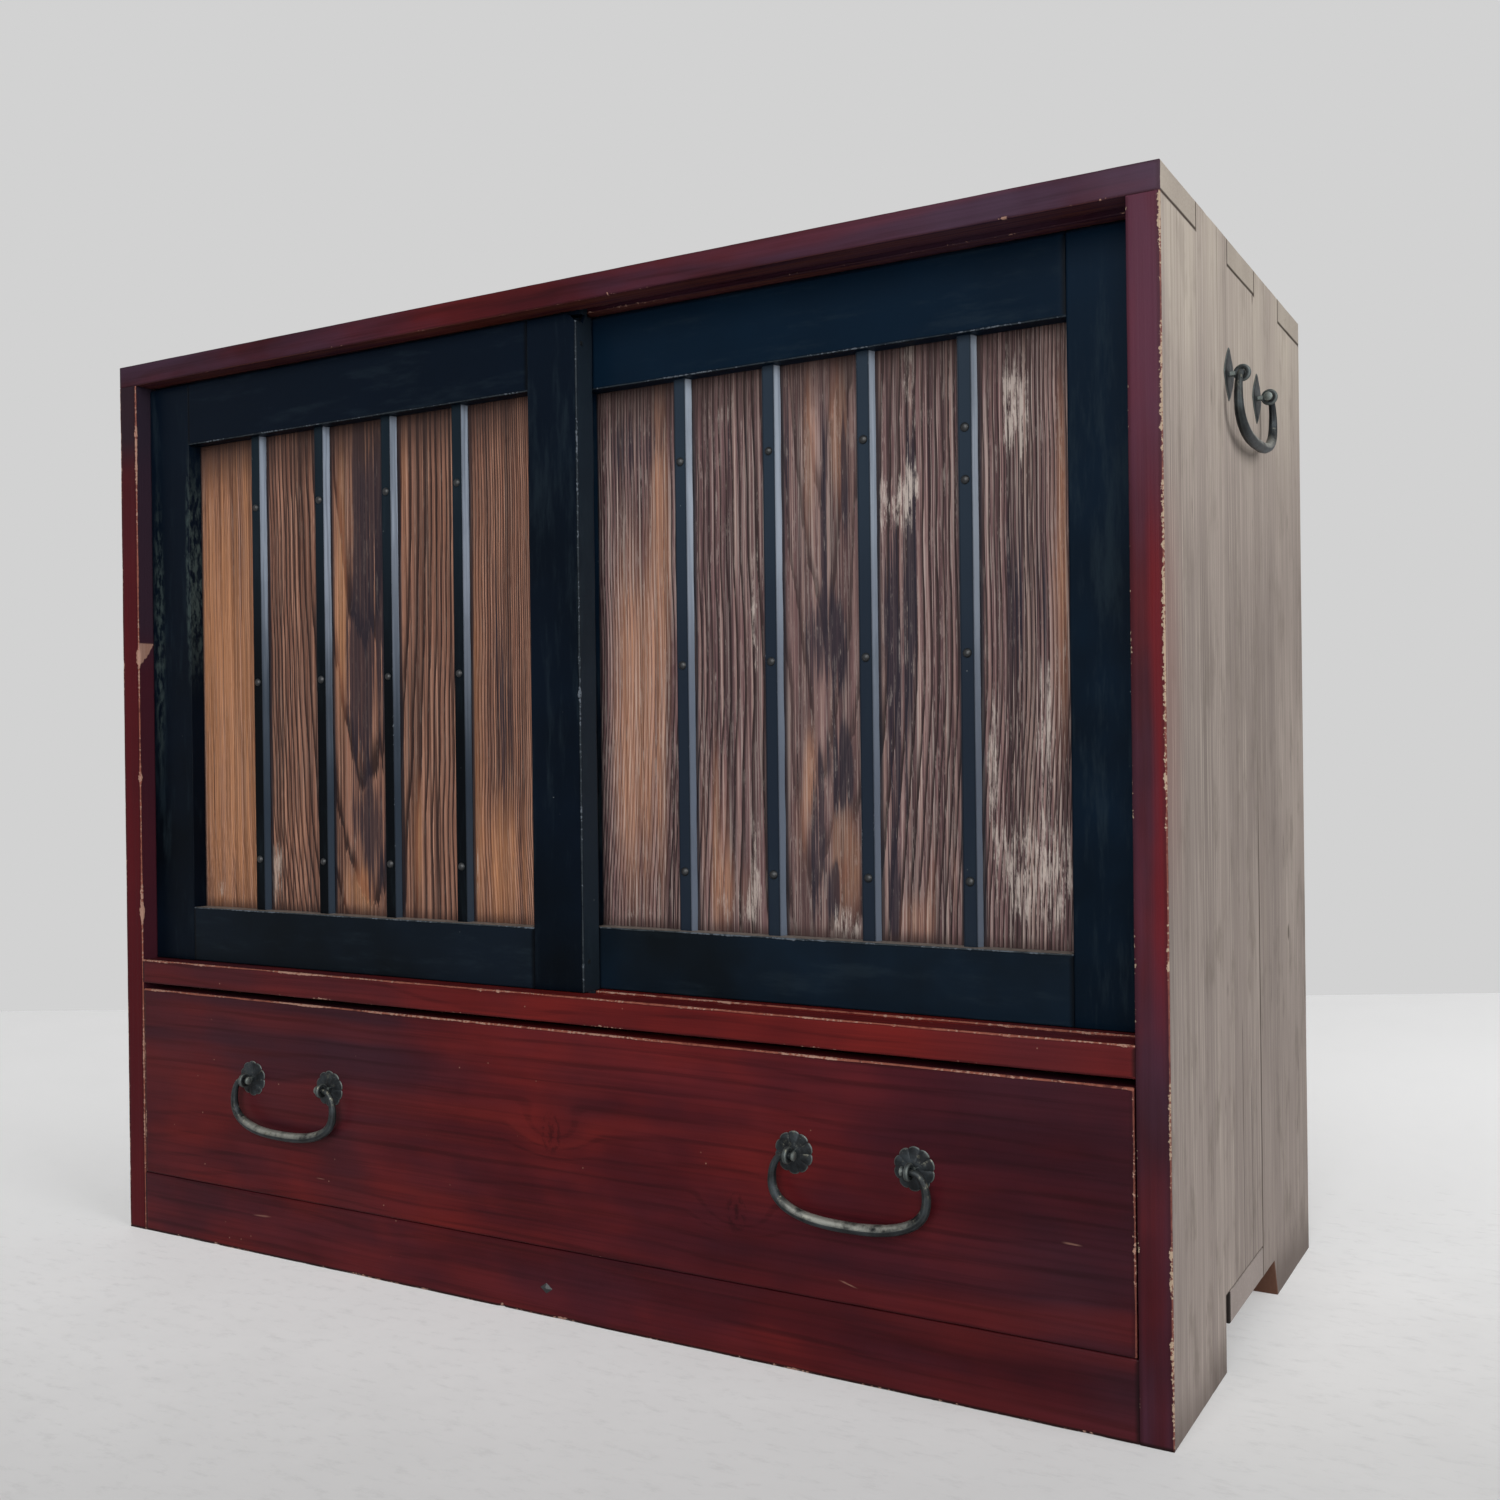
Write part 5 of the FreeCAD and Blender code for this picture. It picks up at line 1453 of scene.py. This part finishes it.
s = Finish("floorPaint")
mottle = s.noise(9.0, 5.0, 0.65)
near = s.x * -ahead[0] + s.y * -ahead[1] + (mottle - 0.5) * 0.1
# the floor is painted darker towards the camera: painted shade
paint = Paint(s, stage["floor"]).lay(stage["floorShadedNear"], near.band(0.1, 0.75))
paint.lay(stage["mottle"], mottle.band(0.35, 0.7) * 0.25)
trowel = s.noise(46.0, 6.0, 0.72, (1.0, 2.2, 1.0))
paint.lay(stage["trowel"], trowel.band(0.5, 0.72) * 0.3)
floorMesh.materials.append(s.surface(paint, mottle * 0.2 + 0.5, s.bump(mottle, 0.001, 0.3),
                                     specular=0.3))
# the far floor is as pale as the wall behind it: part of it is shown by its own brightness
around = (s.x * s.x + s.y * s.y).calc("SQRT")
pale = near.band(0.75, -0.7, stage["paleNear"], stage["paleFar"]).most(
    around.band(1.1, 2.4, stage["paleNear"], stage["paleAround"]))
glow = s.node("Emission", stage["floor"], pale * (mottle * 0.3 + 0.85) * seenDirectly(s))
both = s.node("AddShader", Value(s, s.shader.outputs[0]), glow)
s.feed(s.tree.nodes["Material Output"].inputs["Surface"], both)

world = bpy.data.worlds.new("studio")
bpy.context.scene.world = world
world.use_nodes = True
w = Nodes(world.node_tree)
background = w.tree.nodes["Background"]
w.feed(background.inputs["Color"],
       w.mix(seenDirectly(w), [stage["ambient"]] * 3 + [1], stage["wall"]))
background.inputs["Strength"].default_value = 1.0

lamps = {"front": {"at": (1.0, -2.9, 1.5), "size": 2.4, "power": 86},
         "right": {"at": (3.0, -0.6, 1.6), "size": 2.0, "power": 55}}
lampAim = (0.0, 0.0, 0.35)
for name, lamp in lamps.items():
    data = bpy.data.lights.new(name, "AREA")
    data.shape, data.size, data.energy = "SQUARE", lamp["size"], lamp["power"]
    item = bpy.data.objects.new(name, data)
    place = np.array(lamp["at"])
    aim = np.array(lampAim) - place
    item.location = place
    flat = math.hypot(aim[0], aim[1])
    item.rotation_euler = (math.atan2(flat, -aim[2]), 0, math.atan2(-aim[0], aim[1]))
    bpy.context.scene.collection.objects.link(item)

view = {"lens": 37.07, "sensor": 36.0, "place": (0.69385, -1.09475, 0.41202),
        "turn": (89.897, 0.7055, stage["yaw"])}
cameraData = bpy.data.cameras.new("camera")
cameraData.lens, cameraData.sensor_width = view["lens"], view["sensor"]
camera = bpy.data.objects.new("camera", cameraData)
camera.location = view["place"]
camera.rotation_euler = [math.radians(v) for v in view["turn"]]
bpy.context.scene.collection.objects.link(camera)
bpy.context.scene.camera = camera
bpy.context.scene.view_settings.view_transform = "Standard"
print("stage set")

print("pieces made:", len(pieces))
